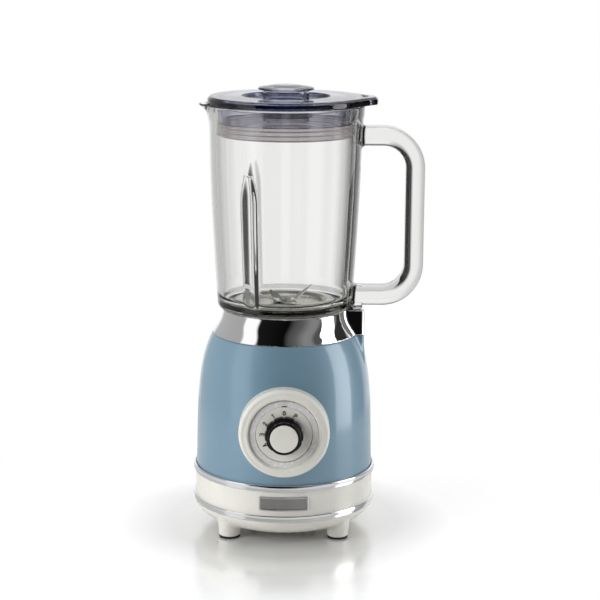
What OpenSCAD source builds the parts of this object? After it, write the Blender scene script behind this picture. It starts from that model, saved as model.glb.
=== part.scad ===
// Countertop blender: motor base with a rotary speed switch, glass jug with a
// four-armed blade unit, press-in lid and lift-out measuring cap.
// Millimetres, +Z up. The origin is on the drive axis, on the surface that the
// feet stand on. -Y is the front (dial side), +X the handle, -X the spout.

/* [Stand] */
// Thickness of each rubber foot pad
pad_h = 1.6; // [1:0.1:3]
// Radius of a foot at its pad
foot_r = 9.3; // [8.5:0.1:10.4]
// Radius of a foot where it joins the pan
foot_top_r = 11; // [10:0.1:11.4]
// How far each foot's centre lies inside the band's outer radius
foot_inset = 12.05; // [11.5:0.05:14]
// Radius of the locating socket in each foot
socket_r = 3.2; // [2.8:0.1:3.8]
// Depth of the locating socket, from the table
socket_depth = 9; // [6:0.5:10]
// Radius of the foot screws
foot_screw_r = 1.75; // [1.5:0.05:2]
// Radius of the foot screws' heads
foot_head_r = 2.8; // [2.5:0.1:3]

/* [Pan] */
// Height of the pan's flat bottom above the table
pan_z = 8; // [6:0.5:10]
// Height of the pan
pan_h = 15.6; // [14:0.1:18]
// Radius of the pan's flat bottom
pan_flat_r = 59; // [56:0.5:62]
// Roundness of the pan's side, 2 is an ellipse
pan_round = 1.7; // [1.5:0.1:2.2]
// Wall of the pan
pan_wall = 2.4; // [2:0.1:3]

/* [Base band] */
// How far the cream band stands out from the housing's lower edge
band_out = 0.5; // [0.3:0.1:1]
// Wall of the band
band_wall = 2.6; // [2:0.1:3]
// Height of the band that shows between the two bright rings
band_h = 22; // [18:0.5:28]
// Height of each bright ring
ring_h = 5.8; // [4.5:0.1:7]
// How far each bright ring stands out from the band
ring_out = 2.1; // [1.5:0.1:2.6]
// Bevel on the rings' outer edges
ring_bevel = 0.9; // [0.4:0.1:1.3]
// Width of the ledge inside the band
ledge_w = 17.5; // [16.5:0.5:19]
// Thickness of the ledge inside the band
ledge_t = 3; // [2.4:0.2:4]

/* [Badge] */
// Width of the plain badge plate
badge_w = 45; // [40:0.5:50]
// Height of the plain badge plate
badge_h = 12.6; // [10:0.2:15]
// How far the plate stands out from the band
badge_out = 1.4; // [1:0.1:2]
// Width of the plate's raised rim
badge_rim = 1.3; // [1:0.1:2]

/* [Motor housing] */
// Radius of the housing at its lower edge
body_r = 80; // [78:0.5:84]
// Height of the housing
body_h = 125; // [120:1:130]
// Radius of the housing's shoulder, where the collar sits
neck_r = 65; // [63:0.5:67]
// Wall of the housing
body_wall = 2.5; // [2:0.1:3]
// Height share at which the side starts to turn
side_turn = 0.47; // [0.44:0.01:0.5]
// Height share at which the shoulder ends its turn
shoulder_turn = 0.77; // [0.75:0.01:0.79]
// Half width of the handle post
post_half = 17; // [15:0.5:18]
// Distance of the post's outer face from the drive axis
post_x = 71.2; // [70:0.2:73]
// Rounding of the post's upright edges
post_edge = 3; // [2:0.5:4]

/* [Collar] */
// Height of the bright collar
collar_h = 22.4; // [20:0.2:25]
// How far the collar's top stands out from the jug's flat bottom
collar_margin = 0.7; // [0:0.1:1.5]
// Room between the lock ring and the well inside the collar
well_room = 3; // [2.5:0.1:4]
// Wall of the collar
collar_wall = 1.8; // [1.4:0.1:2.2]
// Height of the rubber seat ring above the collar
seat_out = 0.3; // [0.2:0.1:0.6]

/* [Jug] */
// Height of the glass jug
jug_h = 182.4; // [175:0.2:190]
// Radius of the jug just above its rounded bottom edge
jug_low_r = 60.2; // [59.5:0.1:61]
// Width of the jug's rounded bottom edge
jug_turn = 4.6; // [4:0.1:5.4]
// Radius of the jug under its rim
jug_top_r = 67.7; // [67:0.1:69]
// How far the rim stands out from the wall under it
rim_out = 2.2; // [1.5:0.1:3]
// Thickness of the glass wall
glass_wall = 5.2; // [4.6:0.1:5.6]
// Thickness of the glass floor
glass_floor = 5.5; // [5:0.1:6.5]
// Radius inside, between the floor and the wall
glass_fillet = 9; // [7:0.5:10]
// Width of the glass floor around its hole, with the wall
floor_shelf = 21.6; // [21:0.1:22]
// How far the spout's tip stands out from the rim
spout_out = 8.1; // [6:0.1:10]
// Radius of the spout's tip
spout_r = 13.5; // [12:0.5:15]
// Height of the spout
spout_h = 9.5; // [8:0.5:12]
// Radius of the inner mixing ribs
rib_r = 6; // [5.5:0.1:6.5]
// How far the ribs stand out from the wall inside
rib_out = 3.4; // [2.5:0.1:3.8]
// Height of a rib's straight part above the glass floor
rib_h = 96; // [80:1:105]
// Height of a rib's pointed top
rib_tip_h = 22; // [16:1:28]

/* [Handle] */
// Distance of the handle's outer face from the drive axis
handle_x = 123.5; // [120:0.5:126]
// Thickness of the handle's bar
bar_t = 17; // [15:0.5:18]
// Width of the handle's bar across the jug
bar_w = 24; // [22:0.5:27]
// Edge rounding of the handle's bar
bar_edge = 6.5; // [5:0.5:7]
// Radius of the handle's outer corners
handle_corner = 37; // [34:0.5:40]
// Height of the handle's underside above the jug's bottom
handle_low = 3; // [2.5:0.5:6]
// Height of the handle's upper face above the jug's bottom
handle_high = 163.4; // [150:0.2:168]
// Half width of the locating lug under the handle
lug_half = 11; // [9:0.5:12]

/* [Blade unit] */
// How far the steel plate reaches over the glass floor
plate_lap = 6.4; // [4:0.1:6.8]
// Room between the plate's sunk cup and the glass
cup_room = 0.6; // [0.4:0.1:1]
// Depth of the sunk cup
cup_depth = 4.8; // [4:0.1:5]
// Thickness of the steel plate
plate_t = 1.2; // [1:0.1:1.6]
// Thickness of the gasket under the plate
gasket_t = 0.8; // [0.6:0.1:1.2]
// Radius of the blade shaft
blade_shaft_r = 4; // [3.6:0.1:4.4]
// Radius of the bearing housing's hub
hub_r = 10.5; // [10.2:0.1:11.5]
// Length of each blade arm
blade_len = 30; // [26:0.5:32]
// Width of each blade arm at its root
blade_w = 11; // [9:0.5:12]
// Thickness of the blades
blade_t = 1.1; // [0.9:0.1:1.4]
// Bend of the upper blade's arms
blade_bend = 36; // [25:1:40]
// Width of the blade nut across its flats
nut_af = 9; // [8:0.5:10]
// Height of the lock ring under the glass
lock_h = 4; // [3.4:0.2:5]
// How far the lock ring reaches under the glass floor
lock_lap = 4.9; // [4.2:0.1:5.4]

/* [Lid] */
// How far the lid's flange lies inside the jug's rim
lid_inset = 0.4; // [0:0.1:1]
// Thickness of the lid's flange
lid_t = 7; // [6:0.2:8]
// Wall of the lid's skirt and tube
lid_wall = 2.4; // [2:0.1:2.8]
// Room between the lid's skirt and the glass, which the seal fills
skirt_room = 1.9; // [1.7:0.1:2.5]
// Depth of the skirt in the jug
skirt_h = 27.5; // [24:0.5:30]
// Radius of the recess around the cap
recess_r = 39.3; // [36:0.1:42]
// Depth of the recess around the cap
recess_h = 4; // [3.2:0.1:4.4]
// How far the lift tab stands out from the lid's flange
tab_out = 12; // [9:0.5:14]
// Half width of the lift tab
tab_half = 10; // [8:0.5:12]
// Radius of the tab's corners
tab_corner = 3.5; // [2.5:0.5:5]
// How far the seal's lips stand out from the skirt
lip_out = 1.4; // [1:0.1:1.6]
// Number of lips on the seal
lips = 3; // [2:1:4]
// Height of the lid seal
seal_h = 12; // [9:0.5:14]

/* [Measuring cap] */
// Radius of the cap's flange
cap_r = 24.8; // [24:0.1:26]
// Thickness of the cap's flange
cap_t = 4.7; // [4.2:0.1:5.2]
// Radius of the cap's cup
cap_cup_r = 20.6; // [20:0.1:21.2]
// Depth of the cap's cup under its flange
cap_cup_h = 28; // [24:0.5:30]
// Wall of the cap
cap_wall = 2; // [1.6:0.1:2.4]
// Height of the cap's flange above the recess
cap_rise = 9.4; // [8:0.1:10.5]

/* [Dial] */
// Height of the dial's centre above the housing's lower edge
dial_h = 52.6; // [50:0.2:56]
// Outer radius of the dial bezel
bezel_r = 39.7; // [39:0.1:42]
// How far the bezel's front edge stands out from the housing's lower edge
bezel_out = 9; // [8:0.2:11]
// Radius of the opening in the housing
port_r = 36; // [35:0.2:37]
// Outer radius of the grey window ring
window_r = 30.2; // [29.6:0.1:31.2]
// Radius of the numbered disc
disc_r = 24.5; // [24:0.1:25.2]
// Height of the marks on the number disc
mark_tall = 4; // [3.6:0.1:4.6]
// Depth of the numbered disc behind the bezel's front edge
disc_set = 2; // [1.4:0.1:2.6]
// Radius of the knob's skirt
knob_r = 17; // [16:0.1:18]
// Number of grip notches in the knob's skirt
notches = 10; // [8:1:12]
// Radius of a grip notch
notch_r = 1.7; // [1.2:0.1:2.2]
// Radius of the knob's barrel
barrel_r = 14.5; // [14:0.1:15.2]
// How far the knob stands out from the numbered disc
knob_out = 14.5; // [13:0.5:17]
// Radius of the cream cap on the knob
knob_cap_r = 12.2; // [11.6:0.1:12.8]
// Radius of the switch shaft
switch_shaft_r = 3; // [2.6:0.1:3.4]

/* [Motor] */
// Radius of the motor shaft
shaft_r = 4; // [3.6:0.1:4.4]
// Radius of the rotor core
rotor_r = 22; // [20:0.5:23]
// Height of the stator and rotor stacks
stack_h = 35; // [30:1:38]
// Width of the stator stack
stator_w = 76; // [74:1:80]
// Depth of the stator stack
stator_d = 68; // [66:1:70]
// Thickness of the stator's yoke
yoke_t = 8; // [7:0.5:9]
// Height of the coil ends above and below the stack
coil_end = 8; // [6:0.5:9]
// Outer radius of the two ball bearings
bearing_r = 11; // [10:0.5:12]
// Height of the ball bearings
bearing_h = 7; // [6:0.5:8]
// Thickness of the motor brackets
bracket_t = 4; // [3:0.5:5]
// Radius of the commutator
commutator_r = 12; // [11:0.5:13]
// Height of the commutator
commutator_h = 12; // [11:0.5:13]
// Radius of the cooling fan
fan_r = 36; // [32:0.5:40]
// Height of the cooling fan
fan_h = 11; // [9:0.5:12]
// Number of fan blades
fan_blades = 9; // [7:1:12]
// Radius of the rubber motor mounts
mount_r = 6; // [5:0.5:7]
// Height of the rubber motor mounts
mount_h = 7; // [5:0.5:8]
// Outer radius of the drive coupling's lobes
drive_r = 12; // [11:0.2:13]
// Number of lobes on the drive coupling
drive_lobes = 6; // [4:1:8]

/* [Control board] */
// Width of the board
board_w = 60; // [56:1:66]
// Depth of the board
board_d = 42; // [40:1:44]
// Distance of the board's front edge behind the drive axis
board_y = 14; // [10:0.5:14]
// Height of the tallest part on the board
relay_h = 13; // [10:0.5:14]

/* [Cord entry] */
// Radius of the cord hole through the gland
cord_r = 3.6; // [3.2:0.1:4]
// Length of the gland outside the band
gland_out = 9; // [6:0.5:12]

/* [Hidden] */
$fn = 64;

// Clearances
fit = 0.05;        // a shaft, screw or bush in its hole
gap = 0.3;         // faces that move apart or past each other
snug = 0.1;        // covers and rings that slip over each other
eps = 0.01;        // overrun of cutting shapes

// Radii that follow each other
band_r = body_r + band_out;
foot_offset = (band_r - foot_inset) * sqrt(0.5);
jug_foot_r = jug_low_r - jug_turn;
jug_rim_r = jug_top_r + rim_out;
spout_x = jug_rim_r + spout_out;
floor_hole_r = jug_low_r - floor_shelf;
plate_r = floor_hole_r + plate_lap;
cup_r = floor_hole_r - cup_room;
lock_r = floor_hole_r + lock_lap;
well_r = lock_r + well_room;
collar_top_r = jug_foot_r + collar_margin;
lid_r = jug_rim_r - lid_inset;
skirt_r = jug_top_r - glass_wall - skirt_room;
tab_x = lid_r + tab_out;
bezel_y = body_r + bezel_out;

// Heights of the stacked pieces
pan_top = pan_z + pan_h;
ring1_z = pan_top;
ring2_z = ring1_z + ring_h + band_h;
body_z = ring2_z + 1.5;
body_top = body_z + body_h;
collar_top = body_top + collar_h;
jug_z = collar_top + seat_out + gap;
jug_top = jug_z + jug_h;
floor_z = jug_z + glass_floor;
lid_z = jug_top + gap;
lid_top = lid_z + lid_t;
recess_z = lid_top - recess_h;
cap_z = recess_z + cap_rise;

// Control board, which stands on pillars in the pan
board_t = 1.6;
board_inset_x = 4;
board_inset_y = 6;
board_z = pan_z + pan_wall + 11;
board_top = board_z + board_t + relay_h;

// Heights of the motor, which hangs from the housing's deck
deck_t = 3;
deck_z = body_top - deck_t;
boss_h = 17;
bracket_top = deck_z - boss_h - mount_h;
upper_bracket_z = bracket_top - bracket_t;
hub_gap = 12;
stack_top = upper_bracket_z - hub_gap;
stack_z = stack_top - stack_h;
shaft_z = board_top + 1.9;
fan_z = shaft_z + 1;
lower_hub_z = fan_z + fan_h + 6;
lower_bracket_z = lower_hub_z + 4;
winding_end = 9;
brush_z = (lower_hub_z + bearing_h + 2 + stack_z - winding_end) / 2;
bearing_wall = 2.5;
ear_x = 50;
ear_y = 46;
bolt_x = stator_w / 2 - 4.5;
bolt_y = stator_d / 2 - 4.5;
bolt_r = 2;
post_r = 5;

// Drive coupling and the blade unit's underside
coupling_z = body_top + 1.5;
coupling_h = 8;
driven_z = coupling_z + 2.5;
driven_h = 8.3;
driven_r = 17;
housing_z = driven_z + driven_h + gap;
plate_z = floor_z + gasket_t;
cup_floor = plate_z + plate_t - cup_depth;
hub_top = cup_floor + plate_t + 0.9;
blade_z = hub_top + gap;
bush_r = 6;
seal_r = 8;
seal_t = 2.8;

// Dial, measured outwards from the drive axis
dial_z = body_z + dial_h;
disc_y = bezel_y - disc_set;
disc_t = 2.4;
ring_back = disc_y - 4;
bezel_floor = ring_back - 2.6;
bezel_back = body_r - 18;
switch_face = bezel_floor - gap;
switch_d = 22;
switch_y = switch_face - 8.1 - switch_d;
knob_y = disc_y + gap;
mark_h = 0.25;
mark_r = disc_r - 5.2;
lens_w = 7;

// Fasteners
screw_hole = 0.1;  // radial room around a screw
mount_screw_r = 1.75;
shell_screw_r = 1.6;
shell_head_r = 3;
shell_head_h = 2;
switch_screw_r = 1.3;
switch_screw_x = 11;
board_screw_r = 1.2;
ledge_screw_a = 30;
collar_screw_a = 45;
gland_z = ring1_z + ring_h + band_h / 2;

// Colours
cream = [0.86, 0.85, 0.80];
blue = [0.47, 0.60, 0.67];
chrome = [0.80, 0.80, 0.82];
glass = [0.85, 0.90, 0.88, 0.35];
smoke = [0.30, 0.32, 0.42, 0.75];
black = [0.06, 0.06, 0.07];
rubber = [0.12, 0.12, 0.12];
steel = [0.62, 0.62, 0.62];
copper = [0.72, 0.38, 0.20];
iron = [0.35, 0.35, 0.37];

// ---------- curves and shared shapes ----------

function bezier(a, b, c, d, n) = [
    for (i = [0:n])
        let (t = i / n)
            a * pow(1 - t, 3) + 3 * b * t * pow(1 - t, 2) + 3 * c * t * t * (1 - t) + d * pow(t, 3)
];
function arc(cx, cy, r, a0, a1, n) = [
    for (i = [0:n])
        let (a = a0 + (a1 - a0) * i / n)
            [cx + r * cos(a), cy + r * sin(a)]
];
function shift_r(points, dr) = [for (p = points) [p[0] + dr, p[1]]];
function reverse(points) = [for (i = [len(points) - 1:-1:0]) points[i]];

// Side line of the motor housing, from its lower edge to its shoulder
function body_line(dr) = shift_r(
    bezier([body_r, body_z], [body_r - 2, body_z + side_turn * body_h],
        [body_r + 0.3, body_z + shoulder_turn * body_h], [neck_r, body_top], 14), dr);

// Side line of the collar: it flares down from an upright rim to the housing's shoulder
function collar_line(dr) = shift_r(
    bezier([neck_r, body_top], [neck_r - 5, body_top + collar_h * 0.38],
        [collar_top_r, body_top + collar_h * 0.55], [collar_top_r, collar_top], 8), dr);

// Side line of the pan, from its flat bottom up to the lower ring
function pan_line(dr) = [
    for (i = [0:10])
        let (t = 1 - i / 10)
            [pan_flat_r + (band_r + 0.8 - pan_flat_r) * pow(1 - pow(t, pan_round), 1 / pan_round) + dr,
                pan_top - (pan_top - pan_z) * t]
];

// Outside of the jug's wall, from above the rounded foot to the rim
function wall_line(dr) = shift_r(
    bezier([jug_low_r, jug_z + 5.5], [jug_low_r + 3.6, jug_z + jug_h * 0.3],
        [jug_top_r - 0.9, jug_z + jug_h * 0.55], [jug_top_r, jug_top - 22], 8), dr);

module disc_at(r, z, h) {
    translate([0, 0, z])
        cylinder(r = r, h = h);
}

module tube(r, bore, z, h) {
    difference() {
        disc_at(r, z, h);
        disc_at(bore, z - 1, h + 2);
    }
}

module round_rect(w, h, r) {
    square([w - 2 * r, h], center = true);
    square([w, h - 2 * r], center = true);
    for (x = [-1, 1], y = [-1, 1])
        translate([x * (w / 2 - r), y * (h / 2 - r)])
            circle(r = r);
}

// Places a shape drawn on the dial's axis, its +Z towards the user
module on_dial() {
    translate([0, 0, dial_z])
        rotate([90, 0, 0])
            children();
}

module at_feet() {
    for (x = [-1, 1], y = [-1, 1])
        translate([x * foot_offset, y * foot_offset, 0])
            children();
}

module at_ears() {
    for (p = [[ear_x, 0], [-ear_x, 0], [0, ear_y], [0, -ear_y]])
        translate([p[0], p[1], 0])
            children();
}

module at_bolts() {
    for (x = [-1, 1], y = [-1, 1])
        translate([x * bolt_x, y * bolt_y, 0])
            children();
}

module around(n, r, start = 0) {
    for (i = [0:n - 1])
        rotate([0, 0, start + i * 360 / n])
            translate([r, 0, 0])
                children();
}

module at_switch_screws() {
    for (x = [-1, 1])
        translate([x * switch_screw_x, 0, 0])
            children();
}

// Screw with its head at the bottom, pointing up
module screw_up(r, head_r, head_h, z, h) {
    disc_at(head_r, z, head_h);
    disc_at(r, z + head_h - eps, h + eps);
}

// ---------- stand and base band ----------

foot_z = pad_h;
head_z = socket_depth + 0.5;
head_h = 2.2;
foot_screw_top = ring1_z + ring_h + band_h - 5.7;
foot_screw_len = foot_screw_top - head_z - head_h;
boss_r = 4.6;
foot_top_z = pan_top - 4.5;
boss_z = foot_top_z;

module foot_pads() {
    color(rubber)
        at_feet()
            tube(foot_r - 0.2, socket_r, 0, pad_h);
}

module foot_post() {
    translate([0, 0, foot_z])
        cylinder(r1 = foot_r, r2 = foot_top_r, h = foot_top_z - foot_z);
}

module bottom_cover() {
    outer = pan_line(0);
    inner = pan_line(-pan_wall);
    color(cream)
        difference() {
            union() {
                rotate_extrude($fn = 96)
                    polygon(concat([[0, pan_z]], outer, [[band_r - band_wall - snug, pan_top]],
                        [[band_r - band_wall - snug, pan_top - 2]],
                        reverse([for (p = inner) if (p[1] < pan_top - 2.5) [p[0], p[1] + pan_wall]]),
                        [[0, pan_z + pan_wall]]));
                at_feet()
                    foot_post();
                board_pillars();
            }
            at_feet() {
                disc_at(socket_r, -1, socket_depth + 1);
                disc_at(foot_screw_r + screw_hole, socket_depth - 1, 30);
                disc_at(foot_head_r + screw_hole, socket_depth - eps, head_h + 0.6);
            }
            // air slots under the fan
            for (i = [-3:3])
                translate([i * 9 - 2, -24, pan_z - 1])
                    cube([4, 34, pan_wall + 2]);
        }
}

module at_board_corners() {
    for (x = [-1, 1] * (board_w / 2 - board_inset_x), y = [board_inset_y, board_d - board_inset_y])
        translate([x, board_y + y, 0])
            children();
}

module board_pillars() {
    foot = pan_z + pan_wall - 0.6;
    at_board_corners()
        tube(3.4, board_screw_r + screw_hole, foot, board_z - foot);
}

module foot_screws() {
    color(steel)
        at_feet()
            screw_up(foot_screw_r, foot_head_r, head_h, head_z, foot_screw_len);
}

module base_band() {
    ledge_r = band_r - ledge_w;
    color(cream)
        difference() {
            union() {
                tube(band_r, band_r - band_wall, pan_top + snug, body_z - pan_top - snug);
                tube(band_r - band_wall + eps, ledge_r, body_z - ledge_t, ledge_t);
                at_feet()
                    disc_at(boss_r, boss_z + snug, body_z - ledge_t - boss_z - snug + 1);
            }
            at_feet()
                disc_at(foot_screw_r + screw_hole, boss_z - 2, foot_screw_top - boss_z + 3);
            around(4, ledge_screw_r, ledge_screw_a)
                disc_at(shell_screw_r + 0.3, body_z - ledge_t - 1, ledge_t + 2);
            translate([0, 0, gland_z])
                rotate([-90, 0, 0])
                    cylinder(r = gland_r + snug, h = band_r + 1);
        }
}

module trim_ring(z) {
    r0 = band_r + snug;
    r1 = band_r + ring_out;
    color(chrome)
        rotate_extrude($fn = 96)
            polygon([[r0, z], [r1 - ring_bevel, z], [r1, z + ring_bevel],
                [r1, z + ring_h - ring_bevel], [r1 - ring_bevel, z + ring_h], [r0, z + ring_h]]);
}

module lower_trim_ring() {
    // stands on the pan's rim
    trim_ring(ring1_z + snug);
}

module upper_trim_ring() {
    trim_ring(ring2_z);
}

module badge_plate() {
    z0 = ring1_z + ring_h + band_h / 2;
    back = band_r - 4;
    color(steel)
        difference() {
            intersection() {
                translate([0, -back, z0])
                    rotate([90, 0, 0])
                        linear_extrude(height = 8)
                            round_rect(badge_w, badge_h, 1.2);
                disc_at(band_r + badge_out, z0 - badge_h, 2 * badge_h);
            }
            disc_at(band_r + fit, z0 - badge_h - 1, 2 * badge_h + 2);
            // sunk middle, left plain
            difference() {
                translate([0, -back, z0])
                    rotate([90, 0, 0])
                        linear_extrude(height = 9)
                            square([badge_w - 2 * badge_rim, badge_h - 2 * badge_rim], center = true);
                disc_at(band_r + badge_out - 0.6, z0 - badge_h, 2 * badge_h);
            }
        }
}

gland_r = 6;
gland_flange_r = 9;
gland_in = 12;

module cord_gland() {
    color(black)
        translate([0, 0, gland_z])
            rotate([-90, 0, 0])
                difference() {
                    union() {
                        disc_at(gland_r, band_r - gland_in, gland_in + 1);
                        disc_at(gland_flange_r, band_r + 0.2, 2.6);
                        translate([0, 0, band_r + 2])
                            cylinder(r1 = gland_r, r2 = cord_r + 1.4, h = gland_out - 2);
                        disc_at(gland_r + 2, band_r - gland_in, gland_in - band_wall - 1.5);
                    }
                    disc_at(cord_r, band_r - gland_in - 1, gland_in + gland_out + 2);
                }
}

module control_board() {
    color([0.10, 0.35, 0.20])
        difference() {
            translate([-board_w / 2, board_y, board_z])
                cube([board_w, board_d, board_t]);
            at_board_corners()
                disc_at(board_screw_r + 0.2, board_z - 1, board_t + 2);
        }
    // relay, capacitor and connector
    color([0.55, 0.20, 0.15])
        translate([-18, board_y + 11, board_z + board_t])
            cube([22, 9, relay_h]);
    color(black)
        translate([14, board_y + 18, 0])
            disc_at(5, board_z + board_t, relay_h - 1);
    color([0.80, 0.80, 0.75])
        translate([-16, board_y + 28, board_z + board_t])
            cube([30, 8, 8]);
}

module board_screws() {
    color(steel)
        at_board_corners() {
            disc_at(2 * board_screw_r, board_z + board_t, 1.6);
            disc_at(board_screw_r, board_z - 5, 5 + board_t + eps);
        }
}

// ---------- motor housing and collar ----------

ledge_screw_r = band_r - band_wall - 7;
housing_boss_h = 12;
deck_hole_r = 9;
collar_screw_r = well_r + 5;
collar_boss_h = 11;

module body_solid(dr, z0, z1) {
    line = body_line(dr);
    intersection() {
        rotate_extrude($fn = 96)
            polygon(concat([[0, body_z - 1], [line[0][0], body_z - 1]], line, [[0, body_top]]));
        disc_at(body_r + 10, z0, z1 - z0);
    }
}

module post_outline(inset) {
    translate([(post_x + 30) / 2 - inset, 0])
        round_rect(post_x - 30, 2 * (post_half - inset), post_edge);
}

module housing_wall() {
    line = body_line(0);
    wall = [for (p = body_line(-body_wall)) if (p[1] < deck_z - 1) p];
    last = wall[len(wall) - 1];
    rotate_extrude($fn = 96)
        polygon(concat(line, [[deck_hole_r, body_top], [deck_hole_r, deck_z], [last[0] - 2, deck_z]],
            reverse(wall), [[body_r - body_wall, body_z]]));
}

module motor_housing() {
    color(blue)
        difference() {
            union() {
                housing_wall();
                // post that carries the handle's lug
                difference() {
                    translate([0, 0, body_top - 26])
                        linear_extrude(height = 26)
                            post_outline(0);
                    body_solid(-body_wall / 2, 0, body_top + 1);
                }
                // ledge and bosses at the lower edge
                tube(body_r - body_wall / 2, ledge_screw_r - 4.5, body_z, ledge_t);
                around(4, ledge_screw_r, ledge_screw_a)
                    disc_at(4.4, body_z, housing_boss_h);
                // bosses that carry the motor mounts
                at_ears()
                    disc_at(mount_r, deck_z - boss_h, boss_h + 1);
            }
            around(4, ledge_screw_r, ledge_screw_a)
                disc_at(shell_screw_r + screw_hole, body_z - 1, housing_boss_h - 1);
            at_ears()
                disc_at(mount_screw_r + screw_hole, deck_z - boss_h - 1, boss_h - 1);
            around(4, collar_screw_r, collar_screw_a)
                disc_at(shell_screw_r + screw_hole, deck_z - 1, deck_t + 2);
            on_dial()
                disc_at(port_r, bezel_back - 17, bezel_y - bezel_back + 17);
        }
}

module housing_screws() {
    color(steel)
        around(4, ledge_screw_r, ledge_screw_a)
            screw_up(shell_screw_r, shell_head_r, shell_head_h, body_z - ledge_t - shell_head_h,
                ledge_t + housing_boss_h - 3);
}

module collar() {
    outer = collar_line(0);
    inner = [for (p = collar_line(-collar_wall)) if (p[1] < collar_top - collar_wall - 0.5) p];
    color(chrome)
        difference() {
            union() {
                rotate_extrude($fn = 96)
                    polygon(concat(outer, [[well_r, collar_top], [well_r, body_top],
                        [well_r + 2, body_top], [well_r + 2, collar_top - 2.4],
                        [inner[len(inner) - 1][0], collar_top - 2.4]], reverse(inner)));
                around(4, collar_screw_r, collar_screw_a)
                    difference() {
                        disc_at(3.6, body_top, collar_boss_h);
                        disc_at(shell_screw_r + screw_hole, body_top - 1, collar_boss_h - 1);
                    }
                collar_post();
            }
            // groove for the rubber seat ring
            tube(seat_r1 + snug, seat_r0 - snug, collar_top - 1.2, 3);
        }
}

module collar_post() {
    post_h = collar_top + seat_out - body_top;
    flare = collar_line(-collar_wall / 2);
    difference() {
        translate([0, 0, body_top])
            linear_extrude(height = post_h)
                post_outline(0);
        translate([0, 0, body_top - 1])
            linear_extrude(height = post_h - 1.2)
                post_outline(2);
        rotate_extrude($fn = 96)
            polygon(concat([[0, body_top - 1], [flare[0][0], body_top - 1]], flare,
                [[flare[8][0], collar_top + 2], [0, collar_top + 2]]));
    }
}

seat_r0 = well_r + 1.2;
seat_r1 = collar_top_r - 2;

module collar_screws() {
    color(steel)
        around(4, collar_screw_r, collar_screw_a)
            screw_up(shell_screw_r, shell_head_r, shell_head_h, deck_z - shell_head_h,
                deck_t + collar_boss_h - 3);
}

module seat_ring() {
    color(rubber)
        tube(seat_r1, seat_r0, collar_top - 1.2, 1.2 + seat_out);
}

// ---------- dial ----------

module dial_bezel() {
    round_y = 7;
    lip_r = window_r + 1.2;
    side = bezel_y - round_y;
    color(cream)
        difference() {
            on_dial()
                rotate_extrude($fn = 96)
                    polygon(concat([[bezel_r, bezel_back], [bezel_r, side]],
                        bezier([bezel_r, side], [bezel_r - 0.6, bezel_y - 1.8],
                            [bezel_r - 3.2, bezel_y + 0.6], [lip_r + 1.4, bezel_y], 8),
                        [[lip_r, bezel_y - 0.6], [window_r + snug, disc_y],
                            [window_r + snug, ring_back], [disc_r + gap, ring_back],
                            [disc_r + gap, bezel_floor + 2], [7, bezel_floor + 2],
                            [7, bezel_floor], [port_r - 2.6, bezel_floor], [port_r - 2.6, bezel_back]]));
            difference() {
                body_solid(snug, body_z, body_top);
                on_dial()
                    disc_at(port_r - snug, 0, 100);
            }
            on_dial()
                at_switch_screws()
                    disc_at(switch_screw_r + 0.3, bezel_floor - 1, 4);
        }
}

module window_ring() {
    color([0.70, 0.70, 0.72])
        on_dial()
            difference() {
                tube(window_r, disc_r + gap + 0.4, ring_back + fit, disc_y - ring_back - fit);
                translate([-lens_w / 2 - fit, disc_r - 1, disc_y - 1.5])
                    cube([lens_w + 2 * fit, 8, 3]);
            }
}

module index_lens() {
    color([0.92, 0.92, 0.92])
        on_dial()
            intersection() {
                translate([-lens_w / 2, disc_r + 0.8, disc_y - 1.5 + fit])
                    cube([lens_w, window_r - disc_r - 1.2, 2]);
                disc_at(window_r - 0.1, disc_y - 3, 5);
            }
}

module dial_disc() {
    color(cream)
        on_dial()
            difference() {
                union() {
                    disc_at(disc_r, disc_y - disc_t, disc_t);
                    disc_at(6, bezel_floor + 0.6, disc_y - bezel_floor - 1);
                }
                disc_at(switch_shaft_r + fit, bezel_floor - 1, 20);
            }
}

// A plain stroke between two points on the disc
module stroke(a, b, w = 0.8) {
    d = b - a;
    translate(a)
        rotate([0, 0, atan2(d[1], d[0])])
            translate([-w / 2, -w / 2])
                square([norm(d) + w, w]);
}

// Half of a round loop, open downwards
module bow(r, w = 0.8) {
    difference() {
        circle(r = r + w / 2);
        circle(r = r - w / 2);
        translate([-r - w, -r - w])
            square([2 * (r + w), r + w]);
    }
}

// Strokes of the marks, each drawn about 3 wide and 5.2 high, centred on the mark's place
module mark(name) {
    if (name == "pulse") {
        stroke([-1.3, -2.2], [-1.3, 2.2]);
        stroke([-1.3, 2.2], [0.4, 2.2]);
        stroke([-1.3, 0], [0.4, 0]);
        translate([0.4, 1.1])
            rotate([0, 0, -90])
                bow(1.1);
    }
    if (name == "zero") {
        stroke([-1.2, -1], [-1.2, 1]);
        stroke([1.2, -1], [1.2, 1]);
        for (a = [0, 180])
            rotate([0, 0, a])
                translate([0, 1])
                    bow(1.2);
    }
    if (name == "one") {
        stroke([0.2, -2.2], [0.2, 2.2]);
        stroke([0.2, 2.2], [-0.9, 1.3]);
    }
    if (name == "two") {
        translate([0, 1])
            bow(1.2);
        stroke([1.2, 1], [-1.3, -2.2]);
        stroke([-1.3, -2.2], [1.4, -2.2]);
    }
    if (name == "three")
        for (y = [-1.1, 1.1]) {
            translate([0.2, y])
                rotate([0, 0, -90])
                    bow(1.1);
            stroke([-1.1, 2 * y], [0.2, 2 * y]);
            stroke([-0.6, 0], [0.2, 0]);
        }
    if (name == "auto") {
        stroke([-1.5, -2.2], [0, 2.2]);
        stroke([1.5, -2.2], [0, 2.2]);
        stroke([-0.9, -0.8], [0.9, -0.8]);
    }
}

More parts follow.
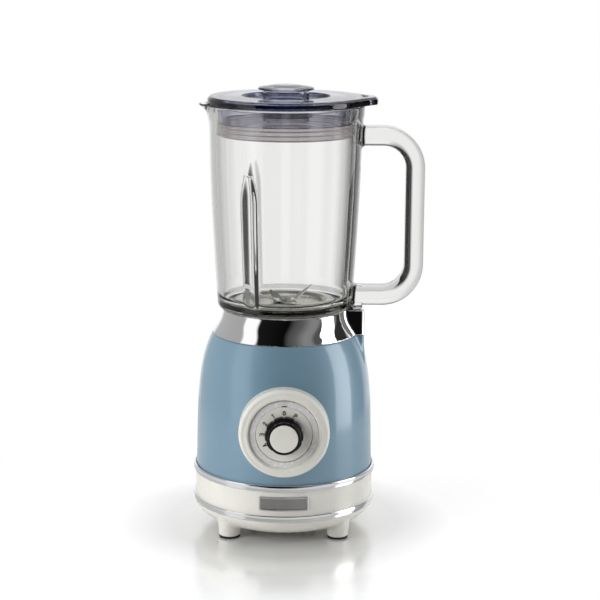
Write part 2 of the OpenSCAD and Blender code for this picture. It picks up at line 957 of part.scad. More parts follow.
module dial_marks() {
    places = [["pulse", -30], ["zero", 0], ["one", 30], ["two", 60], ["three", 90], ["auto", 120]];
    color(black)
        on_dial()
            for (p = places)
                rotate([0, 0, p[1]])
                    translate([0, mark_r, disc_y])
                        linear_extrude(height = mark_h)
                            scale(mark_tall / 5.2)
                                mark(p[0]);
}

module knob() {
    front = disc_y + knob_out;
    skirt = knob_out * 0.45;
    color(black)
        on_dial()
            difference() {
                union() {
                    disc_at(barrel_r, knob_y, front - knob_y);
                    disc_at(knob_r, knob_y + mark_h, skirt);
                }
                around(notches, knob_r + notch_r * 0.4, 90)
                    disc_at(notch_r, knob_y, skirt + 2);
                disc_at(knob_cap_r + snug, front - 1.2, 3);
                disc_at(switch_shaft_r + fit, knob_y - 1, front - knob_y - 2.4);
            }
}

module knob_cap() {
    front = disc_y + knob_out;
    color(cream)
        on_dial()
            disc_at(knob_cap_r, front - 1.2, 1.5);
}

module switch_shaft() {
    color(steel)
        on_dial()
            disc_at(switch_shaft_r, switch_y + 6, disc_y + knob_out - 4 - switch_y - 6);
}

module rotary_switch() {
    color([0.20, 0.20, 0.22])
        on_dial()
            difference() {
                union() {
                    translate([-17, -15, switch_y])
                        cube([34, 30, switch_d]);
                    disc_at(6, switch_y + switch_d - 1, switch_face - switch_y - switch_d + 1);
                    // terminal blades
                    for (i = [-2:2])
                        translate([i * 6 - 0.4, -12, switch_y - 7])
                            cube([0.8, 5, 8]);
                    at_switch_screws()
                        disc_at(3.6, switch_y + switch_d - 1, switch_face - switch_y - switch_d + 1);
                }
                disc_at(switch_shaft_r + fit, switch_y + 5, 40);
                at_switch_screws()
                    disc_at(switch_screw_r + screw_hole, switch_face - 8, 12);
            }
}

module switch_screws() {
    color(steel)
        on_dial()
            at_switch_screws() {
                disc_at(switch_screw_r, switch_face - 7, bezel_floor + 2 - switch_face + 7 + eps);
                disc_at(2.4, bezel_floor + 2, 1.0);
            }
}

// ---------- motor ----------

module upper_bracket() {
    color([0.75, 0.75, 0.76])
        difference() {
            union() {
                translate([0, 0, upper_bracket_z])
                    linear_extrude(height = bracket_t) {
                        square([stator_w, stator_d], center = true);
                        square([2 * ear_x + 14, 15], center = true);
                        square([15, 2 * ear_y + 14], center = true);
                    }
                disc_at(bearing_r + bearing_wall, upper_bracket_z, bearing_h + 2);
                at_bolts()
                    disc_at(post_r - 0.6, stack_top, upper_bracket_z - stack_top + 1);
            }
            disc_at(bearing_r + fit, upper_bracket_z - 1, bearing_h + 1);
            disc_at(shaft_r + 2, upper_bracket_z, bearing_h + 5);
            at_bolts()
                disc_at(bolt_r + screw_hole, stack_top - 1, hub_gap + bracket_t + 2);
            at_ears()
                disc_at(mount_screw_r + screw_hole, upper_bracket_z - 1, bracket_t + 2);
            for (x = [-1, 1])
                translate([x * (bearing_r + bearing_wall + 11.5), 0, 0])
                    disc_at(7, upper_bracket_z - 1, bracket_t + 2);
        }
}

module lower_bracket() {
    color([0.75, 0.75, 0.76])
        difference() {
            union() {
                translate([0, 0, lower_bracket_z])
                    linear_extrude(height = bracket_t) {
                        square([stator_w, 24], center = true);
                        for (x = [-1, 1])
                            translate([x * bolt_x, 0])
                                square([9, stator_d], center = true);
                    }
                disc_at(bearing_r + bearing_wall, lower_hub_z, bearing_h + 2);
                at_bolts()
                    disc_at(post_r - 0.6, lower_bracket_z, stack_z - lower_bracket_z);
                // arms that hold the brush holders
                for (x = [-1, 1])
                    translate([x * 27 - 3, -5, lower_bracket_z + 1])
                        cube([6, 10, brush_z - lower_bracket_z - 6]);
            }
            disc_at(bearing_r + fit, lower_hub_z - 1, bearing_h + 1);
            disc_at(shaft_r + 2, lower_hub_z, bearing_h + 5);
            at_bolts()
                disc_at(bolt_r + screw_hole, lower_bracket_z - 1, stack_z - lower_bracket_z + 2);
        }
}

module upper_bearing() {
    color(steel)
        tube(bearing_r, shaft_r + fit, upper_bracket_z, bearing_h);
}

module lower_bearing() {
    color(steel)
        tube(bearing_r, shaft_r + fit, lower_hub_z, bearing_h);
}

// Space between the pole shoes and the yoke on one side of a pole
pole_x = rotor_r - 8;
pole_y = rotor_r - 9;

module winding_window(room) {
    far_x = stator_w / 2 - yoke_t;
    far_y = stator_d / 2 - yoke_t;
    for (x = [-1, 1], y = [-1, 1])
        difference() {
            translate([x * (far_x + pole_x) / 2, y * (far_y + pole_y) / 2])
                square([far_x - pole_x - 2 * room, far_y - pole_y - 2 * room], center = true);
            circle(r = rotor_r + 4 + room);
        }
}

module stator_core() {
    color(iron)
        translate([0, 0, stack_z])
            linear_extrude(height = stack_h)
                difference() {
                    square([stator_w, stator_d], center = true);
                    circle(r = rotor_r + 0.6);
                    winding_window(0);
                    at_bolts()
                        circle(r = bolt_r + screw_hole);
                }
}

module field_coils() {
    reach_x = stator_w / 2 - yoke_t - 0.5;
    reach_y = stator_d / 2 - yoke_t - 0.5;
    color(copper) {
        translate([0, 0, stack_z - 1])
            linear_extrude(height = stack_h + 2)
                winding_window(0.5);
        for (z = [stack_z - coil_end, stack_top + 0.2])
            translate([0, 0, z])
                linear_extrude(height = coil_end - 0.2)
                    for (y = [-1, 1])
                        difference() {
                            translate([0, y * (reach_y + pole_y + 0.5) / 2])
                                square([2 * reach_x, reach_y - pole_y - 0.5], center = true);
                            circle(r = rotor_r + 2);
                        }
    }
}

module through_bolts() {
    z0 = lower_bracket_z - 2.5;
    color(steel)
        at_bolts() {
            screw_up(bolt_r, 3.4, 2.5, z0, bracket_top - lower_bracket_z + 3);
            disc_at(3.4, bracket_top, 2.4);
        }
}

module brush_holders() {
    color([0.55, 0.45, 0.20])
        for (x = [-1, 1])
            translate([x * (commutator_r + 10), 0, brush_z])
                difference() {
                    cube([17, 11, 10], center = true);
                    cube([19, 6.4, 6.4], center = true);
                }
}

module carbon_brushes() {
    color(black)
        for (x = [-1, 1])
            translate([x * (commutator_r + gap + 7), 0, brush_z])
                cube([14, 6.2, 6.2], center = true);
}

module motor_mounts() {
    color(rubber)
        at_ears()
            tube(mount_r, mount_screw_r + screw_hole, bracket_top, mount_h);
}

module mount_screws() {
    color(steel)
        at_ears()
            screw_up(mount_screw_r, 3.6, 2.4, upper_bracket_z - 2.4, bracket_t + mount_h + boss_h - 4);
}

module deck_seal() {
    color(rubber)
        difference() {
            union() {
                disc_at(deck_hole_r - fit, deck_z, deck_t + 0.4);
                disc_at(deck_hole_r + 2, body_top + fit, 0.7);
            }
            disc_at(shaft_r + gap, deck_z - 1, deck_t + 5);
        }
}

module motor_shaft() {
    color(steel)
        disc_at(shaft_r, shaft_z, coupling_z + coupling_h - 1.5 - shaft_z);
}

module rotor_core() {
    color(iron)
        translate([0, 0, stack_z])
            linear_extrude(height = stack_h)
                difference() {
                    circle(r = rotor_r);
                    circle(r = shaft_r + fit);
                    for (i = [0:11])
                        rotate([0, 0, i * 30])
                            translate([rotor_r - 2.2, 0])
                                circle(r = 1.5);
                }
}

module rotor_windings() {
    color(copper) {
        tube(rotor_r - 4, shaft_r + fit, stack_z - winding_end, winding_end);
        tube(rotor_r - 4, shaft_r + fit, stack_top, winding_end);
    }
}

module commutator() {
    color(copper)
        tube(commutator_r, shaft_r + fit, brush_z - commutator_h / 2, commutator_h);
}

module cooling_fan() {
    color([0.85, 0.85, 0.82])
        difference() {
            union() {
                disc_at(shaft_r + 4, fan_z, fan_h);
                disc_at(fan_r, fan_z + fan_h - 2, 2);
                around(fan_blades, 0)
                    translate([shaft_r + 3, -0.8, fan_z])
                        cube([fan_r - shaft_r - 4, 1.6, fan_h - 1]);
            }
            disc_at(shaft_r + fit, fan_z - 1, fan_h + 2);
        }
}

// Star of round lobes around a hub
module star(r, room) {
    circle(r = r * 0.62 + room);
    for (i = [0:drive_lobes - 1])
        rotate([0, 0, i * 360 / drive_lobes])
            translate([r * 0.72, 0])
                circle(r = r * 0.28 + room);
}

module drive_coupling() {
    color(black)
        difference() {
            union() {
                disc_at(drive_r * 0.6, coupling_z, coupling_h);
                translate([0, 0, driven_z - 1])
                    linear_extrude(height = coupling_z + coupling_h - driven_z + 1)
                        star(drive_r, 0);
            }
            disc_at(shaft_r + fit, coupling_z - 1, coupling_h);
        }
}

// ---------- jug ----------

rib_axis = rib_r - rib_out;

function foot_arc() = bezier([jug_foot_r, jug_z], [jug_foot_r + 3, jug_z + 0.3],
    [jug_low_r, jug_z + 2.2], [jug_low_r, jug_z + 5.5], 5);

module jug_outside() {
    rotate_extrude($fn = 96)
        polygon(concat([[0, jug_z]], foot_arc(), wall_line(0), [[jug_top_r + 0.8, jug_top - 13],
            [jug_rim_r, jug_top - 6], [jug_rim_r, jug_top], [0, jug_top]]));
}

module jug_inside() {
    low = jug_low_r + 0.4 - glass_wall;
    rotate_extrude($fn = 96)
        polygon(concat([[0, floor_z]],
            arc(low - glass_fillet, floor_z + glass_fillet, glass_fillet, -90, 0, 5),
            [for (p = wall_line(-glass_wall)) if (p[1] > floor_z + glass_fillet + 4) p],
            [[jug_top_r + 0.6 - glass_wall, jug_top - 12], [jug_rim_r - glass_wall + 0.6, jug_top - 4],
                [jug_rim_r - glass_wall + 0.6, jug_top + 1], [0, jug_top + 1]]));
}

// Upright ribs inside the wall: they turn the contents back into the blades
module jug_ribs() {
    low = jug_low_r + 0.9 - glass_wall;
    high = jug_top_r - 1.6 - glass_wall;
    lean = atan((high - low) / (rib_h + rib_tip_h));
    for (a = [0, 120, 240])
        rotate([0, 0, a])
            translate([low + rib_axis, 0, floor_z])
                rotate([0, lean, 0]) {
                    translate([0, 0, -2])
                        cylinder(r = rib_r, h = rib_h + 2);
                    translate([0, 0, rib_h])
                        cylinder(r1 = rib_r, r2 = rib_axis - 0.3, h = rib_tip_h);
                }
}

module spout(inset) {
    translate([spout_r - spout_x, 0, jug_top - spout_h + inset])
        cylinder(r1 = 1.5, r2 = spout_r - inset, h = spout_h);
}

module handle_bar() {
    mid_r = handle_corner - bar_t / 2;
    cx = handle_x - handle_corner;
    z0 = jug_z + handle_low + handle_corner;
    z1 = jug_z + handle_high - handle_corner;
    root_x = jug_low_r - 3;
    translate([handle_x - bar_t / 2, 0, z0])
        linear_extrude(height = z1 - z0)
            round_rect(bar_t, bar_w, bar_edge);
    translate([cx, 0, z1])
        rotate([90, 0, 0])
            rotate_extrude(angle = 90, $fn = 64)
                translate([mid_r, 0])
                    round_rect(bar_t, bar_w, bar_edge);
    translate([cx, 0, z0])
        rotate([90, 0, 0])
            rotate([0, 0, -90])
                rotate_extrude(angle = 90, $fn = 64)
                    translate([mid_r, 0])
                        round_rect(bar_t, bar_w, bar_edge);
    for (z = [z0 - mid_r, z1 + mid_r])
        translate([root_x, 0, z])
            rotate([0, 90, 0])
                linear_extrude(height = cx - root_x)
                    round_rect(bar_t, bar_w, bar_edge);
}

module jug_lug() {
    translate([jug_foot_r - 6, -lug_half, jug_z])
        cube([post_x - jug_foot_r + 4, 2 * lug_half, handle_low + bar_edge + 2]);
}

module glass_jug() {
    color(glass)
        difference() {
            union() {
                jug_outside();
                handle_bar();
                jug_lug();
                spout(0);
            }
            difference() {
                jug_inside();
                jug_ribs();
            }
            intersection() {
                spout(3);
                disc_at(spout_x + 5, jug_top - spout_h, spout_h + eps);
            }
            disc_at(floor_hole_r, jug_z - 1, glass_floor + 2);
        }
}

module blade_plate() {
    z = plate_z;
    lip = 1.6;
    color(steel)
        rotate_extrude($fn = 96)
            polygon([[hub_r + fit, cup_floor], [cup_r - lip, cup_floor], [cup_r, cup_floor + lip],
                [cup_r, z], [plate_r, z], [plate_r, z + plate_t], [cup_r - plate_t, z + plate_t],
                [cup_r - plate_t, cup_floor + lip + 0.6], [cup_r - lip - 0.6, cup_floor + plate_t],
                [hub_r + fit, cup_floor + plate_t]]);
}

module plate_gasket() {
    color(rubber)
        tube(plate_r - 1.5, floor_hole_r + 0.4, floor_z, gasket_t);
}

module bearing_housing() {
    flange_top = cup_floor - fit;
    color([0.30, 0.30, 0.32])
        difference() {
            union() {
                disc_at(hub_r, housing_z, hub_top - housing_z);
                disc_at(cup_r - 1, flange_top - 4, 4);
                around(6, 0)
                    translate([0, -1, housing_z + 2])
                        cube([30, 2, flange_top - 4 - housing_z - 1.9]);
            }
            disc_at(bush_r + fit, housing_z - 1, hub_top - housing_z + 2);
            disc_at(seal_r + fit, hub_top - seal_t - 0.3, seal_t + 2);
        }
}

module lock_ring() {
    color(black)
        difference() {
            tube(lock_r, cup_r - 1 + fit, jug_z - lock_h, lock_h - snug);
            around(8, lock_r + 0.6)
                disc_at(1.6, jug_z - lock_h - 1, lock_h + 2);
        }
}

module upper_bush() {
    h = 5;
    color([0.60, 0.48, 0.30])
        tube(bush_r, blade_shaft_r + fit, hub_top - seal_t - 0.5 - h, h);
}

module lower_bush() {
    color([0.60, 0.48, 0.30])
        tube(bush_r, blade_shaft_r + fit, housing_z + 0.3, 4);
}

module shaft_seal() {
    color(rubber)
        tube(seal_r, blade_shaft_r + fit, hub_top - seal_t, seal_t - 0.1);
}

blade_seat_r = blade_shaft_r - 1;
blade_root = 9;
nut_h = 2.6;
nut_z = blade_z + 2 * blade_t + 2 * fit;
shaft_top = nut_z + nut_h + 0.6;

module blade_shaft() {
    z0 = driven_z + driven_h - 2.2;
    color(steel)
        union() {
            disc_at(blade_shaft_r, z0, blade_z - fit - z0);
            disc_at(blade_seat_r, blade_z - 1, shaft_top - blade_z + 1);
        }
}

module blade_hub() {
    difference() {
        union() {
            disc_at(blade_w / 2 + 1, 0, blade_t);
            for (a = [0, 180])
                rotate([0, 0, a])
                    linear_extrude(height = blade_t)
                        translate([0, -blade_w / 2])
                            square([blade_root, blade_w]);
        }
        disc_at(blade_seat_r + fit, -1, blade_t + 2);
    }
}

module bent_arm(len, bend) {
    w = blade_w / 2 - 0.3;
    translate([blade_root, 0, 0])
        rotate([0, -bend, 0])
            linear_extrude(height = blade_t)
                polygon([[-0.4, -w], [len * 0.5, -w * 0.8], [len, -0.8],
                    [len, 0.8], [len * 0.6, w], [-0.4, w]]);
}

module blade(bend_a, bend_b) {
    blade_hub();
    bent_arm(blade_len - blade_root, bend_a);
    rotate([0, 0, 180])
        bent_arm(blade_len - blade_root, bend_b);
}

module lower_blade() {
    color([0.80, 0.80, 0.80])
        translate([0, 0, blade_z])
            rotate([0, 0, -62])
                blade(3, 12);
}

module upper_blade() {
    color([0.80, 0.80, 0.80])
        translate([0, 0, blade_z + blade_t + fit])
            rotate([0, 0, 18])
                blade(blade_bend, blade_bend - 14);
}

module blade_nut() {
    color(steel)
        difference() {
            translate([0, 0, nut_z])
                cylinder(r = nut_af / 2 / cos(30), h = nut_h, $fn = 6);
            disc_at(blade_seat_r + fit, nut_z - 1, nut_h + 2);
        }
}

module driven_coupling() {
    socket = coupling_z + coupling_h + 0.8;
    color(black)
        difference() {
            disc_at(driven_r, driven_z, driven_h);
            translate([0, 0, driven_z - 1])
                linear_extrude(height = socket - driven_z + 1)
                    star(drive_r, gap + 0.1);
            disc_at(blade_shaft_r + fit, driven_z, driven_h + 1);
        }
}

// ---------- lid and measuring cap ----------

tube_r = cap_cup_r + 0.5;
tube_z = lid_z - 12;
skirt_z = lid_z - skirt_h;
seal_r0 = skirt_r - 1.6;

module lid() {
    top = lid_top;
    edge = 1.4;
    color(smoke) {
        rotate_extrude($fn = 96)
            polygon([[tube_r, tube_z], [tube_r, recess_z], [recess_r - 1.5, recess_z],
                [recess_r, top], [lid_r - edge * 2, top], [lid_r - 0.4, top - edge],
                [lid_r, top - 2 * edge], [lid_r, lid_z], [skirt_r, lid_z],
                [skirt_r, skirt_z + seal_h + 1], [seal_r0, skirt_z + seal_h],
                [seal_r0, skirt_z], [seal_r0 - lid_wall, skirt_z],
                [seal_r0 - lid_wall, lid_z + 0.8], [tube_r + lid_wall, lid_z + 0.2],
                [tube_r + lid_wall, tube_z]]);
        lift_tab();
    }
}

// Tongue over the handle: its sides run tangent to the lid's flange
module lift_tab() {
    end_x = tab_x - tab_corner;
    swing = atan(tab_half / end_x) + acos(lid_r / norm([end_x, tab_half]));
    side = [[lid_r * cos(swing), lid_r * sin(swing)], [end_x, tab_half],
        [end_x + tab_corner * 0.7, tab_half - tab_corner * 0.3], [tab_x, tab_half - tab_corner]];
    difference() {
        translate([0, 0, lid_z])
            linear_extrude(height = lid_t - 0.3)
                polygon(concat(side, [for (i = [len(side) - 1:-1:0]) [side[i][0], -side[i][1]]]));
        disc_at(lid_r - 3, lid_z - 1, lid_t + 2);
    }
}

module lid_seal() {
    pitch = seal_h / lips;
    r0 = seal_r0 + fit;
    color([0.75, 0.75, 0.78, 0.8])
        rotate_extrude($fn = 96)
            polygon(concat([[r0, skirt_z], [r0, skirt_z + seal_h - 0.2]],
                [for (i = [lips - 1:-1:0]) each [
                    [r0 + 0.9, skirt_z + (i + 0.95) * pitch],
                    [skirt_r + lip_out - 0.4, skirt_z + (i + 0.62) * pitch],
                    [skirt_r + lip_out - 0.4, skirt_z + (i + 0.42) * pitch],
                    [r0 + 0.9, skirt_z + (i + 0.1) * pitch]]]));
}

module measuring_cap() {
    z = cap_z;
    low = z - cap_cup_h;
    color(smoke)
        rotate_extrude($fn = 96)
            polygon([[0, z + cap_t], [cap_r * 0.45, z + cap_t - 0.6], [cap_r * 0.8, z + cap_t - 1.9],
                [cap_r - 0.6, z + 1.7], [cap_r, z + 0.9], [cap_r - 0.6, z], [cap_cup_r, z - 0.4],
                [cap_cup_r, low], [cap_cup_r - cap_wall, low], [cap_cup_r - cap_wall, z + cap_t - 3.9],
                [0, z + cap_t - 2.2]]);
}

foot_pads();
bottom_cover();
foot_screws();
base_band();
lower_trim_ring();
upper_trim_ring();
badge_plate();
cord_gland();
control_board();
board_screws();
motor_housing();
housing_screws();
collar();
collar_screws();
seat_ring();
dial_bezel();
window_ring();
index_lens();
rotary_switch();
switch_screws();
dial_disc();
dial_marks();
knob();
knob_cap();
switch_shaft();
upper_bracket();
lower_bracket();
stator_core();
field_coils();
through_bolts();
upper_bearing();
lower_bearing();
brush_holders();
carbon_brushes();
motor_mounts();
mount_screws();
deck_seal();
motor_shaft();
rotor_core();
rotor_windings();
commutator();
cooling_fan();
drive_coupling();
glass_jug();
blade_plate();
plate_gasket();
bearing_housing();
lock_ring();
upper_bush();
lower_bush();
shaft_seal();
blade_shaft();
lower_blade();
upper_blade();
blade_nut();
driven_coupling();
lid();
lid_seal();
measuring_cap();
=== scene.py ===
"""Looks of the countertop blender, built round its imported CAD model. Metres, +Z up.

The origin is on the drive axis at the table. -Y is the front (dial side), +X the handle.
"""

import math

import bmesh
import bpy
import numpy as np
from mathutils import Matrix, Vector


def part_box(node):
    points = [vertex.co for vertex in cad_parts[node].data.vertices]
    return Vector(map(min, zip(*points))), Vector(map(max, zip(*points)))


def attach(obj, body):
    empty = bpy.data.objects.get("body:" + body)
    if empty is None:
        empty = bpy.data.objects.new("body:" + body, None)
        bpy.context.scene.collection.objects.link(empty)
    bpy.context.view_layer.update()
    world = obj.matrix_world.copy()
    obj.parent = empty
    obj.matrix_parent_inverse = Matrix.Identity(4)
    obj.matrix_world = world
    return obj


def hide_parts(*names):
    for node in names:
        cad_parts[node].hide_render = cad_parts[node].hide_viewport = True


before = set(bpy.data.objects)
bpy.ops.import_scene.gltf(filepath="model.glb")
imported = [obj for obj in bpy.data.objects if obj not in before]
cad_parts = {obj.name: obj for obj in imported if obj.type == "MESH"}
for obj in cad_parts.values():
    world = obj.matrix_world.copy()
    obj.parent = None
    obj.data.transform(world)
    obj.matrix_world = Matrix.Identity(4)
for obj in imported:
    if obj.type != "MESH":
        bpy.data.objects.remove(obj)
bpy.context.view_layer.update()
scene = bpy.context.scene

# ---------- sizes, from the frame and from the driving dimensions ----------

MM = 0.001
pan_lo, pan_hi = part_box("bottom_cover")
band_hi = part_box("base_band")[1]
body_lo, body_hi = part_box("motor_housing")
collar_lo, collar_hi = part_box("collar")
seat_lo, seat_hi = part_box("seat_ring")
jug_lo, jug_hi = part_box("glass_jug")
plate_lo, plate_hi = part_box("blade_plate")
lid_lo, lid_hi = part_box("lid")
seal_lo, seal_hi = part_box("lid_seal")
cap_lo, cap_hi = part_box("measuring_cap")
bezel_lo, bezel_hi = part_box("dial_bezel")
window_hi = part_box("window_ring")[1]
disc_lo, disc_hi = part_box("dial_disc")
knob_lo, knob_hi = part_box("knob")
knob_cap_lo, knob_cap_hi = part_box("knob_cap")

# Motor housing, with the post that carries the lug of the handle
BODY_R = body_hi.y
SHELL = 2.5 * MM
DECK_T = 3 * MM
DECK_HOLE_R = 9 * MM
POST_X = collar_hi.x
POST_ROOT_X = 30 * MM
POST_HALF = 17 * MM
POST_EDGE = 3 * MM
POST_DROP = 26 * MM
LEDGE_R = 66 * MM
LEDGE_H = 3 * MM
SCREW_BOSS_RING = 71 * MM
SCREW_BOSS_R = 4.4 * MM
SCREW_BOSS_H = 12 * MM
MOTOR_BOSS_X = 50 * MM
MOTOR_BOSS_Y = 46 * MM
MOTOR_BOSS_R = 6 * MM
MOTOR_BOSS_H = 17 * MM
DIAL_PORT_R = 36 * MM
DIAL_PORT_Y = -40 * MM

# Collar and the seat ring that stands proud of it
NECK_R = collar_hi.y
COLLAR_TOP_R = 56.3 * MM
COLLAR_WALL = 1.8 * MM
WELL_R = 46.5 * MM
SEAT_PROUD = 0.3 * MM
SEAT_IN_R = WELL_R + 1.1 * MM

# Underside pan, with its four feet and its vents
PAN_BOTTOM = pan_lo.z + 6.4 * MM
PAN_FLAT_R = 59 * MM
PAN_CORNER = 17 * MM
PAN_CURVE = 1.7
PAN_WALL = 2.4 * MM
PAN_FLOOR_T = 3 * MM
FOOT_RING = 48.4 * MM * math.sqrt(2)
FOOT_R = 9.3 * MM
FOOT_FLARE = 1.7 * MM
FOOT_H = 17.5 * MM
FOOT_SOCKET_R = 3.2 * MM
FOOT_SOCKET_TOP = 9 * MM
FOOT_BORE_R = 1.85 * MM
VENTS_EACH_SIDE = 3
VENT_PITCH = 9 * MM
VENT_HALF = 2 * MM
VENT_Y = (-24 * MM, 10 * MM)

# Dial
DIAL_Z = (disc_lo.z + disc_hi.z) / 2
DISC_T = 2.4 * MM
DISC_HOLE_R = 3.1 * MM
BARREL_R = 14.8 * MM
BARREL_DRAFT = 0.5 * MM
SKIRT_DRAFT = 0.8 * MM
SKIRT_SHARE = 0.46
NOTCHES = 10
NOTCH_R = 1.8 * MM
KNOB_BORE_R = 3.05 * MM

# Glass jug
JUG_FOOT_R = 55.6 * MM
JUG_LOW_R = 60.2 * MM
JUG_TOP_R = 67.7 * MM
JUG_RIM_R = jug_hi.y
JUG_RIM_H = 22 * MM
GLASS_WALL = 5.2 * MM
GLASS_FLOOR = 5.5 * MM
GLASS_FILLET = 9 * MM
FLOOR_HOLE_R = 38.6 * MM
SPOUT_R = 13.5 * MM
SPOUT_TIP_R = 1.5 * MM
SPOUT_H = 9.5 * MM
SPOUT_WALL = 2.6 * MM
SPOUT_SLOPE = 0.78
RIB_R = 6 * MM
RIB_OUT = 3.4 * MM
RIB_H = 96 * MM
RIB_TIP_H = 22 * MM
RIB_AZIMUTHS = (0, 120, 240)
HANDLE_LOW = 3 * MM
HANDLE_HIGH = 163.4 * MM
HANDLE_CORNER = 37 * MM
BAR_T = 17 * MM
BAR_W = 24 * MM
BAR_EDGE = 6.5 * MM
LUG_HALF = 11 * MM


# ---------- meshes ----------

def placed(name, data):
    """Object in the scene that shows a mesh, a lamp or the camera."""
    thing = bpy.data.objects.new(name, data)
    scene.collection.objects.link(thing)
    return thing


def smooth_mesh(name, verts, faces, normals=None):
    """Object from vertex and face arrays; every face has the same number of corners."""
    faces = np.asarray(faces, np.int32)
    corners = faces.shape[1]
    mesh = bpy.data.meshes.new(name)
    mesh.vertices.add(len(verts))
    mesh.vertices.foreach_set("co", np.asarray(verts, np.float32).ravel())
    mesh.loops.add(faces.size)
    mesh.loops.foreach_set("vertex_index", faces.ravel())
    mesh.polygons.add(len(faces))
    mesh.polygons.foreach_set("loop_start", np.arange(len(faces), dtype=np.int32) * corners)
    mesh.update(calc_edges=True)
    mesh.validate()
    mesh.shade_smooth()
    if normals is not None:
        mesh.normals_split_custom_set_from_vertices([tuple(n) for n in normals])
    return placed(name, mesh)


def rounded(corners, steps=5):
    """Closed outline of (r, z, radius) corners, each rounded by that radius in millimetres."""
    points = []
    count = len(corners)
    for i, corner in enumerate(corners):
        here = np.array(corner[:2], float)
        radius = corner[2] * MM if len(corner) > 2 else 0
        before = np.array(corners[i - 1][:2], float) - here
        after = np.array(corners[(i + 1) % count][:2], float) - here
        len_b, len_a = np.linalg.norm(before), np.linalg.norm(after)
        if radius == 0 or len_a == 0 or len_b == 0:
            points.append(here)
            continue
        before, after = before / len_b, after / len_a
        half = math.acos(max(-1, min(1, before.dot(after)))) / 2
        reach = min(radius / math.tan(half), 0.48 * len_a, 0.48 * len_b)
        for k in range(steps + 1):
            t = k / steps
            points.append(here + before * reach * (1 - t) ** 2 + after * reach * t ** 2)
    return points


def bezier(a, b, c, d, count):
    """Points of a cubic curve from a to d, led by b and c."""
    t = np.linspace(0, 1, count + 1)[:, None]
    a, b, c, d = (np.array(p, float) for p in (a, b, c, d))
    return a * (1 - t) ** 3 + 3 * b * t * (1 - t) ** 2 + 3 * c * t * t * (1 - t) + d * t ** 3


def revolve(name, outline, turns=192, to_world=None):
    """Closed (r, z) outline turned about +Z. to_world places it, such as on the dial's axis."""
    outline = np.array(outline, float)
    outline[:, 0] = np.maximum(outline[:, 0], 0)
    count = len(outline)
    angle = np.arange(turns) * 2 * np.pi / turns
    verts = np.empty((turns, count, 3))
    verts[:, :, 0] = np.cos(angle)[:, None] * outline[:, 0]
    verts[:, :, 1] = np.sin(angle)[:, None] * outline[:, 0]
    verts[:, :, 2] = outline[:, 1]
    i, j = np.meshgrid(np.arange(turns), np.arange(count), indexing="ij")
    i2, j2 = (i + 1) % turns, (j + 1) % count
    faces = np.stack([i * count + j, i2 * count + j, i2 * count + j2, i * count + j2], -1)
    piece = smooth_mesh(name, verts.reshape(-1, 3), faces.reshape(-1, 4))
    clean_up(piece, to_world)
    return piece


def clean_up(piece, to_world=None, merge=1e-6):
    """Merges doubled points on the axis, turns the faces outwards and places the piece."""
    mesh = bmesh.new()
    mesh.from_mesh(piece.data)
    bmesh.ops.remove_doubles(mesh, verts=mesh.verts, dist=merge)
    bmesh.ops.dissolve_degenerate(mesh, edges=mesh.edges, dist=merge)
    bmesh.ops.recalc_face_normals(mesh, faces=mesh.faces)
    if to_world is not None:
        bmesh.ops.transform(mesh, matrix=to_world, verts=mesh.verts)
    mesh.to_mesh(piece.data)
    mesh.free()
    piece.data.shade_smooth()
    weigh = piece.modifiers.new("weighted normals", "WEIGHTED_NORMAL")
    weigh.keep_sharp = True


def piece_from(name, mesh):
    """Object in the scene from a bmesh, which is freed."""
    data = bpy.data.meshes.new(name)
    mesh.to_mesh(data)
    mesh.free()
    return placed(name, data)


# ---------- solids given by a distance field, negative inside ----------

def both(a, b, r):
    """What two fields share, with its edge rounded to radius r."""
    return np.minimum(-r, np.maximum(a, b)) + np.hypot(np.maximum(a + r, 0), np.maximum(b + r, 0))


def either(a, b, r):
    """Two fields joined, with a fillet of radius r between them."""
    return np.maximum(r, np.minimum(a, b)) - np.hypot(np.maximum(r - a, 0), np.maximum(r - b, 0))


def slab(v, lo, hi):
    """Field of all that lies between lo and hi."""
    return np.maximum(lo - v, v - hi)


def round_box(x, y, z, centre, half, r):
    """Field of a box with rounded edges."""
    q = [np.abs(v - c) - (h - r) for v, c, h in zip((x, y, z), centre, half)]
    outside = np.sqrt(sum(np.maximum(v, 0) ** 2 for v in q))
    return outside + np.minimum(np.maximum(np.maximum(q[0], q[1]), q[2]), 0) - r


def rounded_plan(a, b, r):
    """Field of a rectangle with corners of radius r; a and b are its fields, taken in by r."""
    return np.hypot(np.maximum(a, 0), np.maximum(b, 0)) + np.minimum(np.maximum(a, b), 0) - r


def rod(x, y, spot, radius):
    """Field of an upright rod at a spot."""
    return np.hypot(x - spot[0], y - spot[1]) - radius


def spots(count, radius, start):
    """Places evenly round the drive axis."""
    turn = [math.radians(start + k * 360 / count) for k in range(count)]
    return [(radius * math.cos(a), radius * math.sin(a)) for a in turn]


def grid_cells(f):
    """Corner values of every grid cell, as eight views of the array."""
    cut = (slice(None, -1), slice(1, None))
    return [f[cut[a], cut[b], cut[c]] for a in (0, 1) for b in (0, 1) for c in (0, 1)]


NEWTON_STEPS = 3
LONGEST_MOVE = 0.4      # of a cell, in one Newton step
LEAST_SLOPE = 0.05      # squared, which keeps flat spots of a field from throwing points away


